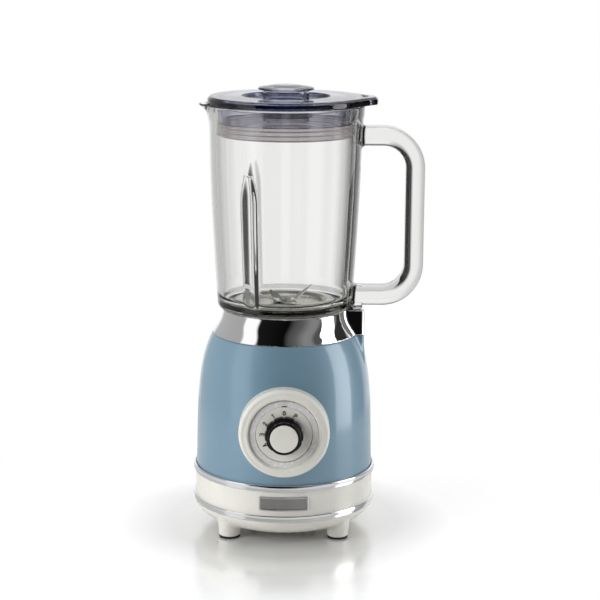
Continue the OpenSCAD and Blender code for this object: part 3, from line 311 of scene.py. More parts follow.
def implicit(name, field, lo, hi, step):
    """Smooth closed mesh where field(x, y, z) is 0, by surface nets and Newton steps."""
    axes = [np.arange(a - 2 * step, b + 3 * step, step) for a, b in zip(lo, hi)]
    f = field(*np.meshgrid(*axes, indexing="ij", sparse=True)).astype(np.float32)
    corner = grid_cells(f)
    below = sum((c < 0).astype(np.int8) for c in corner)
    cells = np.argwhere((below > 0) & (below < 8))
    index = np.full(corner[0].shape, -1, np.int32)
    index[tuple(cells.T)] = np.arange(len(cells))
    value = np.stack([c[tuple(cells.T)] for c in corner], -1)
    offset = np.array([(a, b, c) for a in (0, 1) for b in (0, 1) for c in (0, 1)], float)
    total, hits = np.zeros((len(cells), 3)), np.zeros(len(cells))
    for p, q in [(p, q) for p in range(8) for q in range(p + 1, 8)
                 if np.abs(offset[p] - offset[q]).sum() == 1]:
        crossed = (value[:, p] < 0) != (value[:, q] < 0)
        share = np.where(crossed, value[:, p] / np.where(crossed, value[:, p] - value[:, q], 1), 0)
        total += np.where(crossed[:, None], offset[p] + share[:, None] * (offset[q] - offset[p]), 0)
        hits += crossed
    points = np.array([a[0] for a in axes]) + (cells + total / hits[:, None]) * step
    for _ in range(NEWTON_STEPS):
        points = towards_zero(field, points, step)
    normals = gradient(field, points)
    normals /= np.linalg.norm(normals, axis=1)[:, None]
    return smooth_mesh(name, points, net_faces(f, index), normals)


def gradient(field, points, d=2e-5):
    """Slope of a field at points, from its values d to each side."""
    x, y, z = points.T
    return np.stack([field(x + d, y, z) - field(x - d, y, z),
                     field(x, y + d, z) - field(x, y - d, z),
                     field(x, y, z + d) - field(x, y, z - d)], -1) / (2 * d)


def towards_zero(field, points, step):
    """Moves points along the slope of a field towards where it is 0."""
    slope = gradient(field, points)
    steepness = np.maximum((slope ** 2).sum(1), LEAST_SLOPE)[:, None]
    move = field(*points.T)[:, None] * slope / steepness
    return points - np.clip(move, -LONGEST_MOVE * step, LONGEST_MOVE * step)


def net_faces(f, index):
    """Quads round every grid edge that the surface crosses."""
    faces = []
    for axis in range(3):
        g, n = np.moveaxis(f, axis, 0), np.moveaxis(index, axis, 0)
        low, high = g[:-1, 1:-1, 1:-1] < 0, g[1:, 1:-1, 1:-1] < 0
        quad = np.stack([n[:, :-1, :-1], n[:, 1:, :-1], n[:, 1:, 1:], n[:, :-1, 1:]], -1)
        out, back = quad[low & ~high], quad[~low & high]
        if axis == 1:
            out, back = back, out
        faces += [out, back[:, ::-1]]
    return np.concatenate(faces)


# ---------- materials ----------

MIX_FACTOR, MIX_A, MIX_B, MIX_RESULT = 0, 6, 7, 2    # a colour mix node's sockets


class Nodes:
    """A material's or the world's node tree, with short ways to add shader nodes."""

    def __init__(self, owner):
        owner.use_nodes = True
        self.owner = owner
        self.tree = owner.node_tree
        self.tree.nodes.clear()

    def add(self, kind, inputs=None, **settings):
        node = self.tree.nodes.new("ShaderNode" + kind)
        for key, value in settings.items():
            setattr(node, key, value)
        for key, value in (inputs or {}).items():
            self.put(node.inputs[key], value)
        return node

    def put(self, socket, value):
        if isinstance(value, bpy.types.NodeSocket):
            self.tree.links.new(value, socket)
        else:
            socket.default_value = value

    def math(self, operation, a, b=0.0, c=0.0):
        """Result of one sum; its parts are sockets or numbers."""
        return self.add("Math", {0: a, 1: b, 2: c}, operation=operation).outputs[0]

    def where(self):
        """Place on the piece, in metres."""
        return self.add("TexCoord").outputs["Object"]

    def stretched(self, scale):
        """Place on the piece, with each axis scaled."""
        return self.add("Mapping", {"Vector": self.where(), "Scale": scale}).outputs[0]

    def noise(self, scale, detail=3, rough=0.5, vector=None):
        inputs = {"Vector": vector or self.where(), "Scale": scale, "Detail": detail,
                  "Roughness": rough}
        return self.add("TexNoise", inputs).outputs["Fac"]

    def spread(self, value, low, high, lo_in=0.3, hi_in=0.7):
        """Maps a noise value to the range low..high."""
        inputs = {"Value": value, "From Min": lo_in, "From Max": hi_in,
                  "To Min": low, "To Max": high}
        return self.add("MapRange", inputs).outputs["Result"]

    def mix(self, value, a, b, blend="MIX"):
        """Colour between a and b by a value from 0 to 1; a and b are sockets or colours."""
        node = self.add("Mix", data_type="RGBA", blend_type=blend)
        for socket, part in ((MIX_FACTOR, value), (MIX_A, a), (MIX_B, b)):
            self.put(node.inputs[socket], (*part, 1) if isinstance(part, tuple) else part)
        return node.outputs[MIX_RESULT]

    def varied(self, colour, value, darker, lighter=1.0):
        """Colour made darker and lighter, from place to place, by a noise value."""
        return self.mix(self.spread(value, 0, 1), shade(colour, darker), shade(colour, lighter))

    def bump(self, height, strength, distance, under=None):
        inputs = {"Height": height, "Strength": strength, "Distance": distance}
        if under is not None:
            inputs["Normal"] = under
        return self.add("Bump", inputs).outputs[0]

    def surface(self, **inputs):
        """Principled shader, its sockets named with _ for spaces, joined to the output."""
        named = {key.replace("_", " "): value for key, value in inputs.items()}
        shader = self.add("BsdfPrincipled", named)
        self.add("OutputMaterial", {"Surface": shader.outputs[0]})

    def output(self):
        return [node for node in self.tree.nodes if node.type == "OUTPUT_MATERIAL"][0]


def as_material(paint):
    """Turns a function that fills a node tree into one that makes a material of a given name."""
    def made(name, *values, **extra):
        n = Nodes(bpy.data.materials.new(name))
        paint(n, *values, **extra)
        return n.owner
    return made


def shade(colour, factor):
    """A colour made lighter or darker by a factor."""
    return tuple(min(1, c * factor) for c in colour)


@as_material
def plastic(n, colour, roughness, grain=0.0, grain_scale=2500, **extra):
    """Moulded plastic: slight mottling, uneven gloss and the mould's fine grain."""
    scuffs = n.noise(420, 5, 0.65)
    grain_bump = n.bump(n.noise(grain_scale, 2), grain, 0.00012)
    wave = n.bump(n.noise(28, 1), 0.06, 0.001, grain_bump)
    n.surface(Base_Color=n.varied(colour, n.noise(35, 4), 0.97, 1.03),
              Roughness=n.spread(scuffs, roughness * 0.8, roughness * 1.25), Normal=wave, **extra)


@as_material
def painted(n, colour):
    """Satin lacquer on the motor housing, with a faint orange peel and metallic depth."""
    flakes = n.spread(n.noise(5200, 1), 0, 1, 0.35, 0.75)
    base = n.varied(colour, n.noise(9, 3), 0.97, 1.03)
    flecks = n.mix(flakes, (0.96, 0.96, 0.97), (1.0, 1.0, 1.0))
    peel = n.bump(n.noise(480, 2), 0.05, 0.0004)
    n.surface(Base_Color=n.mix(1.0, base, flecks, "MULTIPLY"), Metallic=0.12,
              Roughness=n.spread(n.noise(300, 4), 0.36, 0.44), Normal=peel,
              Coat_Weight=0.8, Coat_Roughness=0.10)


@as_material
def ring_with_painted_highlight(n, upper, lower):
    """Pearly plastic of the window ring: its upper half is painted lighter than its lower half, a
    painted highlight.
    """
    height = n.add("SeparateXYZ", {0: n.where()}).outputs["Z"]
    # Above the dial's centre the ring takes the lighter colour: painted highlight on its upper half
    half = n.spread(height, 0, 1, DIAL_Z - 0.1 * MM, DIAL_Z + 0.1 * MM)
    pearl = n.spread(n.noise(240, 4), 0, 1)
    tone = n.mix(half, lower, upper)
    flecks = n.mix(pearl, (0.96, 0.96, 0.96), (1.0, 1.0, 1.0))
    n.surface(Base_Color=n.mix(1.0, tone, flecks, "MULTIPLY"), Metallic=0.08,
              Roughness=n.spread(n.noise(420, 3), 0.22, 0.32),
              Normal=n.bump(n.noise(2200, 2), 0.05, 0.0001), Coat_Weight=0.3, Coat_Roughness=0.06)


@as_material
def chromed(n, colour=(0.86, 0.86, 0.87), roughness=0.035):
    """Bright plating: hairline scratches and fingerprints show only in its gloss."""
    haze = n.noise(55, 5, 0.6)
    lines = n.noise(900, 2, vector=n.stretched((1, 1, 0.04)))
    rough = n.math("ADD", n.spread(haze, roughness * 0.5, roughness * 1.6),
                   n.spread(lines, 0, roughness * 0.6, 0.55, 0.75))
    ripple = n.bump(n.noise(45, 1), 0.04, 0.001)
    n.surface(Base_Color=n.varied(colour, haze, 0.98),
              Metallic=1.0, Roughness=rough, Normal=ripple)


@as_material
def ground_steel(n, colour, roughness, brushed="turned"):
    """Steel with the marks of its making: rings of a lathe, or straight grinding lines."""
    if brushed == "turned":
        flat = n.add("VectorMath", {0: n.where(), 1: (1, 1, 0)}, operation="MULTIPLY")
        radius = n.add("VectorMath", {0: flat.outputs[0]}, operation="LENGTH")
        rings = n.add("CombineXYZ", {"X": radius.outputs["Value"]}).outputs[0]
        marks = n.noise(2600, 2, vector=rings)
    else:
        marks = n.noise(1500, 2, vector=n.stretched((0.05, 1, 1)))
    haze = n.noise(60, 4)
    rough = n.math("ADD", n.spread(haze, roughness * 0.75, roughness * 1.2),
                   n.spread(marks, 0, roughness * 0.4))
    n.surface(Base_Color=n.varied(colour, haze, 0.93, 1.04),
              Metallic=1.0, Roughness=rough, Normal=n.bump(marks, 0.12, 0.00005))


@as_material
def cast(n, colour, roughness=0.45):
    """Sand- or die-cast metal with a pebbled skin."""
    pebbles = n.noise(1400, 4, 0.6)
    n.surface(Base_Color=n.varied(colour, n.noise(90, 4), 0.85),
              Metallic=1.0, Roughness=n.spread(pebbles, roughness, roughness + 0.15),
              Normal=n.bump(pebbles, 0.35, 0.00015))


WAVE_SCALE = 0.314      # a wave texture of this scale repeats once a metre


@as_material
def banded(n, colour_a, colour_b, pitch, metallic, roughness, direction="Z"):
    """Layers side by side: core sheets, or turns of enamelled wire."""
    wave = n.add("TexWave", {"Vector": n.where(), "Scale": WAVE_SCALE / pitch,
                             "Distortion": 0.6, "Detail": 2.0, "Detail Scale": 3.0},
                 wave_type="BANDS", bands_direction=direction).outputs["Fac"]
    speck = n.spread(n.noise(700, 3), 0.8, 1.0)
    n.surface(Base_Color=n.mix(n.math("MULTIPLY", wave, speck), colour_a, colour_b),
              Metallic=metallic, Roughness=n.spread(n.noise(350, 3), roughness, roughness + 0.12),
              Normal=n.bump(wave, 0.6, 0.0002))


def tinted_depth(n, lost):
    """Lets a see-through material darken with its depth; lost is each colour's share per metre."""
    densest = 1.4 * max(lost)       # keeps every channel of the node's colour above 0
    left = tuple(1 - part / densest for part in lost)
    tint = n.add("VolumeAbsorption", {"Color": (*left, 1), "Density": densest})
    out = n.output()
    n.tree.links.new(tint.outputs[0], out.inputs["Volume"])


def let_light_in(n, colour):
    """Lets the lamps shine through to what is inside, where a plain shadow would be solid."""
    out = n.output()
    solid = out.inputs["Surface"].links[0].from_socket
    clear = n.add("BsdfTransparent", {"Color": (*colour, 1)})
    shadow = n.add("LightPath").outputs["Is Shadow Ray"]
    mixed = n.add("MixShader", {0: shadow, 1: solid, 2: clear.outputs[0]})
    n.tree.links.new(mixed.outputs[0], out.inputs["Surface"])


@as_material
def clear_glass(n):
    """Pressed glass, faintly olive in its depth, with the slow waves that pressing leaves."""
    waves = n.bump(n.noise(26, 1), 0.05, 0.0012)
    tone = n.mix(n.spread(n.noise(12, 2), 0, 1), (0.984, 0.985, 0.984), (0.992, 0.993, 0.992))
    n.surface(Base_Color=tone, Roughness=0.0, IOR=1.5, Transmission_Weight=1.0, Normal=waves)
    tinted_depth(n, (5.2, 5.0, 6.0))
    let_light_in(n, (0.93, 0.93, 0.93))


@as_material
def smoky(n, depth, roughness, clearness=1.0, colour=(0.97, 0.97, 0.975)):
    """See-through plastic that darkens with its depth, with light moulding flow and fine wear.

    depth is the share of light lost in each metre, for red, green and blue."""
    flow = n.noise(22, 3, vector=n.stretched((1, 1, 0.4)))
    scuffs = n.noise(600, 4, 0.7)
    n.surface(Base_Color=n.varied(colour, flow, 0.97, 1.02),
              Roughness=n.spread(scuffs, roughness * 0.7, roughness * 1.4), IOR=1.49,
              Transmission_Weight=clearness, Normal=n.bump(flow, 0.04, 0.0008))
    tinted_depth(n, depth)
    let_light_in(n, (0.88, 0.88, 0.90))


@as_material
def soft_rubber(n, colour, roughness=0.75):
    """Matt rubber with a fine pebble and pale handling marks."""
    pebbles = n.noise(1800, 3)
    dust = n.spread(n.noise(140, 5, 0.6), 0, 1, 0.5, 0.85)
    n.surface(Base_Color=n.mix(dust, colour, shade(colour, 1.9)),
              Roughness=n.spread(pebbles, roughness, roughness + 0.15),
              Normal=n.bump(pebbles, 0.3, 0.00012))


@as_material
def circuit_board(n):
    """Green board with paler tracks under its varnish."""
    cells = n.add("TexVoronoi", {"Vector": n.where(), "Scale": 160.0},
                  feature="DISTANCE_TO_EDGE", distance="EUCLIDEAN").outputs["Distance"]
    tracks = n.spread(cells, 0, 1, 0.03, 0.06)
    n.surface(Base_Color=n.mix(tracks, (0.10, 0.30, 0.12), (0.02, 0.12, 0.06)), Roughness=0.35,
              Coat_Weight=0.4, Coat_Roughness=0.15, Normal=n.bump(tracks, 0.4, 0.0001))


def slot_of(material):
    """Slot that a material is for: Blender adds a number to a name that is taken."""
    return material.name.split(".")[0]


CREAM = (0.86, 0.845, 0.775)
BLUE = (0.200, 0.335, 0.435)
finish = {slot_of(made): made for made in (
    plastic("cream_plastic", CREAM, 0.24, 0.05, Coat_Weight=0.3, Coat_Roughness=0.08),
    painted("blue_paint", BLUE),
    chromed("chrome"),
    clear_glass("clear_glass"),
    smoky("smoke_plastic", (60, 57, 40), 0.05),
    smoky("soft_seal", (60, 75, 75), 0.16, 0.85, (0.86, 0.83, 0.82)),
    plastic("black_plastic", (0.006, 0.006, 0.007), 0.10, 0.03, Specular_IOR_Level=0.22),
    soft_rubber("rubber", (0.022, 0.022, 0.024)),
    ground_steel("steel", (0.64, 0.64, 0.64), 0.26, "ground"),
    ground_steel("blade_steel", (0.78, 0.765, 0.70), 0.25, "turned"),
    ground_steel("badge_metal", (0.42, 0.41, 0.40), 0.42, "ground"),
    # The window ring's first colour, for its upper half, is painted lighter: a painted highlight
    ring_with_painted_highlight("grey_ring", (0.90, 0.87, 0.87), (0.82, 0.825, 0.80)),
    smoky("lens", (20, 22, 22), 0.03, 1.0, (0.93, 0.93, 0.94)),
    cast("cast_metal", (0.62, 0.62, 0.63)),
    banded("iron", (0.10, 0.10, 0.11), (0.28, 0.28, 0.30), 0.0005, 0.9, 0.42),
    banded("copper", (0.30, 0.10, 0.04), (0.78, 0.36, 0.18), 0.0006, 0.85, 0.28),
    cast("bronze", (0.50, 0.36, 0.17), 0.38),
    circuit_board("board"),
    plastic("fan_plastic", (0.70, 0.70, 0.66), 0.42, 0.12),
)}


def dress(piece, slot, body, *nodes):
    """Gives a piece its finish, its body and the CAD nodes that it stands for."""
    piece.data.materials.clear()
    piece.data.materials.append(finish[slot])
    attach(piece, body)
    if nodes:
        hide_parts(*nodes)
    return piece


def moulded(name, field, node, slot, body, step):
    """Dressed piece with soft edges, from a field inside the box of the node it stands for."""
    return dress(implicit(name, field, *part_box(node), step), slot, body, node)


def turned(name, outline, node, slot, body, steps=5, turns=192, to_world=None):
    """Dressed piece turned from the corners that rounded() takes, for a node."""
    return dress(revolve(name, rounded(outline, steps), turns, to_world), slot, body, node)


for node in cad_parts.values():
    for place in node.material_slots:
        place.material = finish[slot_of(place.material)]


# ---------- stand, band and motor housing ----------

def side_line(curve):
    """Radius and slope factor of a side line, as functions of the height."""
    rise, run = np.gradient(curve[:, 1]), np.gradient(curve[:, 0])
    factor = 1 / np.sqrt(1 + (run / rise) ** 2)
    return (lambda z: np.interp(z, curve[:, 1], curve[:, 0]),
            lambda z: np.interp(z, curve[:, 1], factor))


def off_side(line, r, z, inset=0.0):
    """Distance outside a side line moved inwards by inset."""
    radius, factor = line
    return (r - radius(z)) * factor(z) + inset


def post_plan(x, y, inset=0.0):
    """Plan of the post that carries the lug of the handle."""
    mid, half = (POST_X + POST_ROOT_X) / 2, (POST_X - POST_ROOT_X) / 2
    return inset + rounded_plan(np.abs(x - mid) - (half - POST_EDGE),
                                np.abs(y) - (POST_HALF - POST_EDGE), POST_EDGE)


body_h = body_hi.z - body_lo.z
collar_h = seat_hi.z - SEAT_PROUD - collar_lo.z
collar_top = collar_lo.z + collar_h
body_side = side_line(bezier((BODY_R, body_lo.z), (BODY_R - 2 * MM, body_lo.z + 0.47 * body_h),
                             (BODY_R + 0.3 * MM, body_lo.z + 0.77 * body_h),
                             (NECK_R, body_hi.z), 600))
collar_side = side_line(bezier((NECK_R, collar_lo.z), (NECK_R - 5 * MM, collar_lo.z + 0.38 * collar_h),
                               (COLLAR_TOP_R, collar_lo.z + 0.55 * collar_h),
                               (COLLAR_TOP_R, collar_top), 400))


def housing_field(x, y, z):
    """Hollow domed shell with its deck, its post, bosses for screws and the dial's port."""
    r = np.hypot(x, y)
    deck_z = body_hi.z - DECK_T
    skin = both(off_side(body_side, r, z), slab(z, body_lo.z, body_hi.z), 0.8 * MM)
    post = both(post_plan(x, y), slab(z, body_hi.z - POST_DROP, body_hi.z), 0.6 * MM)
    solid = either(skin, post, 3.5 * MM)
    room = np.maximum(off_side(body_side, r, z, SHELL), z - deck_z)
    solid = np.maximum(solid, -room)
    ledge = np.maximum(slab(z, body_lo.z, body_lo.z + LEDGE_H), slab(r, LEDGE_R, BODY_R - 1 * MM))
    solid = np.minimum(solid, ledge)
    for spot in spots(4, SCREW_BOSS_RING, 30):
        boss = np.maximum(rod(x, y, spot, SCREW_BOSS_R), slab(z, body_lo.z, body_lo.z + SCREW_BOSS_H))
        solid = np.minimum(solid, boss)
    for spot in ((MOTOR_BOSS_X, 0), (-MOTOR_BOSS_X, 0), (0, MOTOR_BOSS_Y), (0, -MOTOR_BOSS_Y)):
        boss = np.maximum(rod(x, y, spot, MOTOR_BOSS_R), slab(z, deck_z - MOTOR_BOSS_H, deck_z + MM))
        solid = np.minimum(solid, boss)
    port = np.maximum(np.hypot(x, z - DIAL_Z) - DIAL_PORT_R, y - DIAL_PORT_Y)
    return np.maximum(np.maximum(solid, -port), DECK_HOLE_R - r)


moulded("housing_shell", housing_field, "motor_housing", "blue_paint", "base", 1.1 * MM)


def collar_field(x, y, z):
    """Bright shell round the well that the jug stands in, with the top of the post."""
    r = np.hypot(x, y)
    skin = both(off_side(collar_side, r, z), slab(z, collar_lo.z, collar_top), 0.5 * MM)
    skin = both(skin, WELL_R - r, 0.6 * MM)
    room = np.maximum(WELL_R + 2 * MM - r, z - (collar_top - 2.4 * MM))
    room = np.maximum(room, off_side(collar_side, r, z, COLLAR_WALL))
    skin = np.maximum(skin, -room)
    post = both(post_plan(x, y), slab(z, collar_lo.z, collar_hi.z), 0.9 * MM)
    hollow = np.maximum(post_plan(x, y, 2 * MM), z - (collar_hi.z - 1.2 * MM))
    post = np.maximum(np.maximum(post, -hollow), -off_side(collar_side, r, z, COLLAR_WALL / 2))
    groove = np.maximum(slab(r, SEAT_IN_R, seat_hi.y), seat_lo.z - z)
    return np.maximum(either(skin, post, 1.6 * MM), -groove)


moulded("collar_shell", collar_field, "collar", "chrome", "base", 0.8 * MM)

seat = turned("seat_cushion", [
    (SEAT_IN_R + 0.1 * MM, seat_lo.z, 0.2), (seat_hi.y, seat_lo.z, 0.2),
    (seat_hi.y, seat_hi.z, 0.5), (SEAT_IN_R + 0.1 * MM, seat_hi.z, 0.5)],
    "seat_ring", "rubber", "base")
# Its rubber is painted pale, a stand-in for the light that shows in the glass foot, which it shows
# through
seat.data.materials[0] = soft_rubber("pale_rubber", (0.50, 0.47, 0.38))


def pan_field(x, y, z):
    """Shallow round bowl with four hollow feet and rows of vents in its floor."""
    r = np.hypot(x, y)
    drop = np.clip((pan_hi.z - z) / (pan_hi.z - PAN_BOTTOM), 0, None)
    reach = np.maximum(r - PAN_FLAT_R, 0) / (pan_hi.y - PAN_FLAT_R)
    bulge = ((reach ** PAN_CURVE + drop ** PAN_CURVE) ** (1 / PAN_CURVE) - 1) * PAN_CORNER
    bowl = both(bulge, z - pan_hi.z, 0.5 * MM)
    foot_spots = spots(4, FOOT_RING, 45)
    foot_r = FOOT_R + FOOT_FLARE * (z - pan_lo.z) / FOOT_H
    feet = rod(x, y, foot_spots[0], foot_r)
    for spot in foot_spots[1:]:
        feet = np.minimum(feet, rod(x, y, spot, foot_r))
    feet = both(feet, slab(z, pan_lo.z, pan_lo.z + FOOT_H), 1.2 * MM)
    solid = either(bowl, feet, 1.5 * MM)
    solid = np.maximum(solid, -np.maximum(bulge + PAN_WALL, -feet))
    for spot in foot_spots:
        socket = np.maximum(rod(x, y, spot, FOOT_SOCKET_R), z - FOOT_SOCKET_TOP)
        solid = np.maximum(solid, -np.minimum(socket, rod(x, y, spot, FOOT_BORE_R)))
    for k in range(-VENTS_EACH_SIDE, VENTS_EACH_SIDE + 1):
        vent = slab(x, k * VENT_PITCH - VENT_HALF, k * VENT_PITCH + VENT_HALF)
        vent = np.maximum(np.maximum(vent, slab(y, *VENT_Y)), z - PAN_BOTTOM - PAN_FLOOR_T)
        solid = np.maximum(solid, -vent)
    return solid


moulded("pan_shell", pan_field, "bottom_cover", "cream_plastic", "base", 0.9 * MM)

ring_back = band_hi.y + 0.1 * MM
for node in ("lower_trim_ring", "upper_trim_ring"):
    lo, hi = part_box(node)
    edge = hi.y - 0.25 * MM
    turned(node.replace("trim_ring", "bright_ring"), [
        (ring_back, lo.z, 0.2), (edge, lo.z, 1.0), (hi.y, (lo.z + hi.z) / 2, 4),
        (edge, hi.z, 1.0), (ring_back, hi.z, 0.2)], node, "chrome", "base", 6, 256)


# ---------- badge ----------

badge_lo, badge_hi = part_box("badge_plate")
BADGE_R = -badge_lo.y
BADGE_HALF_W = badge_hi.x - 0.3 * MM
BADGE_CORNER = 1.4 * MM
BADGE_T = 1.6 * MM
BADGE_RIM = 1.6 * MM
FIELD_DROP = 0.6 * MM
BADGE_STEP = 0.3 * MM


def badge_edge(x, y, z):
    """Field of the badge's rounded outline, measured round the band."""
    along = np.abs(np.arctan2(x, -y) * BADGE_R) - (BADGE_HALF_W - BADGE_CORNER)
    half_h = (badge_hi.z - badge_lo.z) / 2
    across = np.abs(z - (badge_lo.z + badge_hi.z) / 2) - (half_h - BADGE_CORNER)
    return rounded_plan(along, across, BADGE_CORNER)


def badge_frame_field(x, y, z):
    """Raised rim that runs round the badge."""
    r = np.hypot(x, y)
    rim = np.abs(badge_edge(x, y, z) + BADGE_RIM / 2) - BADGE_RIM / 2
    return np.maximum(both(rim, r - BADGE_R, 0.5 * MM), BADGE_R - BADGE_T - r)


def badge_plate_field(x, y, z):
    """Bare plate inside the rim, a little lower than it."""
    r = np.hypot(x, y)
    plain = np.maximum(badge_edge(x, y, z) + 0.4 * MM, r - BADGE_R + FIELD_DROP)
    return np.maximum(plain, BADGE_R - 1.35 * MM - r)


moulded("badge_frame", badge_frame_field, "badge_plate", "steel", "base", BADGE_STEP)
moulded("badge_field", badge_plate_field, "badge_plate", "badge_metal", "base", BADGE_STEP)


# ---------- dial ----------

# Turns +Z of a piece drawn on the dial's axis towards the user
on_dial = Matrix.Translation((0, 0, DIAL_Z)) @ Matrix.Rotation(math.pi / 2, 4, "X")
BEZEL_R = bezel_hi.x
bezel_y = -bezel_lo.y - 0.06 * MM
disc_y = -disc_lo.y
window_r = window_hi.x
disc_r = disc_hi.x

# Points are (radius, distance in front of the drive axis, rounding): over the front of the
# bezel, in to the seat of the window ring, and back behind it
bezel_back = -bezel_hi.y + 4 * MM
seat_r = window_r + 0.1 * MM
well_r = disc_r + 0.3 * MM
bezel_face = [
    (BEZEL_R, bezel_back, 0.5), (BEZEL_R, bezel_y - 4.5 * MM, 3),
    (BEZEL_R - 1.6 * MM, bezel_y - 1.0 * MM, 2.2),
    (BEZEL_R - 4.6 * MM, bezel_y - 0.7 * MM, 3), (window_r + 2.6 * MM, bezel_y, 1.6),
    (window_r + 1.2 * MM, bezel_y - 0.2 * MM, 0.7), (seat_r, disc_y - 0.2 * MM, 0.12),
    (seat_r, disc_y - 4 * MM), (well_r, disc_y - 4 * MM), (well_r, disc_y - 4.6 * MM),
    (7 * MM, disc_y - 4.6 * MM), (7 * MM, disc_y - 6.6 * MM),
    (BEZEL_R - 7 * MM, disc_y - 6.6 * MM), (BEZEL_R - 7 * MM, bezel_back)]
turned("dial_surround", bezel_face, "dial_bezel", "cream_plastic", "base", 8, 256, on_dial)

# The ring lies a hair low in its seat, which leaves a dark crescent above it
low_seat = Matrix.Translation((0, 0, -0.2 * MM)) @ on_dial
ring_out, ring_in = window_r - 0.15 * MM, disc_r + 0.35 * MM
turned("window_band", [
    (ring_in, disc_y - 3.9 * MM), (ring_out, disc_y - 3.9 * MM),
    (ring_out, disc_y - 0.1 * MM, 0.2), (ring_out - 2 * MM, disc_y - 0.02 * MM, 1),
    (ring_in, disc_y - 0.05 * MM, 0.2)], "window_ring", "grey_ring", "base", 5, 256, low_seat)


def tile(name, half_x, half_z, centre_z, front, thick, bevel):
    """Small flat piece with bevelled edges, lying on the dial's face."""
    mesh = bmesh.new()
    bmesh.ops.create_cube(mesh, size=1)
    bmesh.ops.scale(mesh, vec=(2 * half_x, thick, 2 * half_z), verts=mesh.verts)
    bmesh.ops.translate(mesh, vec=(0, -(front - thick / 2), centre_z), verts=mesh.verts)
    bmesh.ops.bevel(mesh, geom=mesh.edges[:], offset=bevel, segments=3, profile=0.5, affect="EDGES")
    piece = piece_from(name, mesh)
    piece.data.shade_smooth()
    return piece


ring_mid = DIAL_Z + (ring_in + ring_out) / 2
lens = tile("index_window", 3.3 * MM, (ring_out - ring_in) / 2 - 0.3 * MM, ring_mid,
            disc_y + 0.35 * MM, 1.6 * MM, 0.4 * MM)
dress(lens, "lens", "base", "index_lens")
pointer = tile("index_bar", 2.1 * MM, 0.35 * MM, DIAL_Z + ring_in + 0.45 * MM, disc_y + 0.45 * MM,
               0.5 * MM, 0.12 * MM)
dress(pointer, "black_plastic", "base")

turned("number_disc", [
    (DISC_HOLE_R, disc_y - DISC_T), (disc_r, disc_y - DISC_T), (disc_r, disc_y, 0.4),
    (DISC_HOLE_R, disc_y, 0.2)], "dial_disc", "cream_plastic", "control_knob", 5, 256, on_dial)


def knob_field(x, y, z):
    """Barrel with a notched grip skirt, drawn upright from its foot at z 0."""
    r = np.hypot(x, y)
    height = knob_hi.y - knob_lo.y
    barrel = both(r - BARREL_R + BARREL_DRAFT * z / height, slab(z, 0, height), 0.7 * MM)
    skirt = both(r - knob_hi.x + SKIRT_DRAFT * z / height,
                 slab(z, 0.2 * MM, SKIRT_SHARE * height), 1.4 * MM)
    for spot in spots(NOTCHES, knob_hi.x + 0.8 * MM, 90):
        skirt = both(skirt, -rod(x, y, spot, NOTCH_R), 0.5 * MM)
    solid = either(barrel, skirt, 0.8 * MM)
    recess = np.maximum(r - knob_cap_hi.x - 0.15 * MM, height - 1.2 * MM - z)
    bore = np.maximum(r - KNOB_BORE_R, z - height + 2.4 * MM)
    return np.maximum(np.maximum(solid, -recess), -bore)


knob_size = Vector((knob_hi.x, knob_hi.x, knob_hi.y - knob_lo.y))
knob = implicit("grip_knob", knob_field, (-knob_size.x, -knob_size.x, 0), knob_size, 0.45 * MM)
knob.data.transform(on_dial @ Matrix.Translation((0, 0, -knob_hi.y)))
dress(knob, "black_plastic", "control_knob", "knob")

cap_r, cap_back, cap_front = knob_cap_hi.x, -knob_cap_hi.y, -knob_cap_lo.y
turned("knob_button", [
    (0, cap_back), (cap_r, cap_back), (cap_r, cap_front - 0.3 * MM, 0.5),
    (cap_r * 0.6, cap_front - 0.02 * MM, 6), (0, cap_front)],
    "knob_cap", "cream_plastic", "control_knob", 8, 128, on_dial)


# ---------- glass jug ----------

jug_h = jug_hi.z - jug_lo.z
floor_z = jug_lo.z + GLASS_FLOOR
rim_z = jug_hi.z - JUG_RIM_H
wall_curve = bezier((JUG_LOW_R, jug_lo.z), (JUG_LOW_R + 3.6 * MM, jug_lo.z + 0.3 * jug_h),
                    (JUG_TOP_R - 0.9 * MM, jug_lo.z + 0.55 * jug_h), (JUG_TOP_R, rim_z), 500)
rim_curve = bezier((JUG_TOP_R, rim_z), (JUG_TOP_R + 0.15 * MM, jug_hi.z - 15 * MM),
                   (JUG_RIM_R, jug_hi.z - 12 * MM), (JUG_RIM_R, jug_hi.z - 4 * MM), 80)
jug_outside = side_line(np.concatenate([wall_curve, rim_curve[1:], [[JUG_RIM_R, jug_hi.z + MM]]]))
handle_lo = jug_lo.z + HANDLE_LOW + BAR_T / 2
handle_hi = jug_lo.z + HANDLE_HIGH - BAR_T / 2


def handle_field(x, y, z):
    """Bar with rounded edges, led round the handle's D."""
    corner = HANDLE_CORNER - BAR_T / 2
    mid, half = (handle_lo + handle_hi) / 2, (handle_hi - handle_lo) / 2
    from_path = np.abs(rounded_plan(x - (jug_hi.x - HANDLE_CORNER),
                                    np.abs(z - mid) - (half - corner), corner))
    bar = rounded_plan(from_path - (BAR_T / 2 - BAR_EDGE), np.abs(y) - (BAR_W / 2 - BAR_EDGE),
                       BAR_EDGE)
    return np.maximum(bar, JUG_LOW_R - 3 * MM - x)


def rib_field(x, y, z):
    """Three upright ribs inside, each with a pointed top."""
    low = JUG_LOW_R + 0.9 * MM - GLASS_WALL + RIB_R - RIB_OUT
    lean = (JUG_TOP_R - JUG_LOW_R - 2.5 * MM) / (RIB_H + RIB_TIP_H)
    up = z - floor_z
    away = low + lean * up
    tip = np.clip((up - RIB_H) / RIB_TIP_H, 0, 1)
    radius = RIB_R - (RIB_OUT + 0.4 * MM) * tip ** 1.7
    ribs = 1.0
    for azimuth in RIB_AZIMUTHS:
        a = math.radians(azimuth)
        ribs = np.minimum(ribs, rod(x, y, (away * math.cos(a), away * math.sin(a)), radius))
    return np.maximum(ribs, up - RIB_H - RIB_TIP_H)


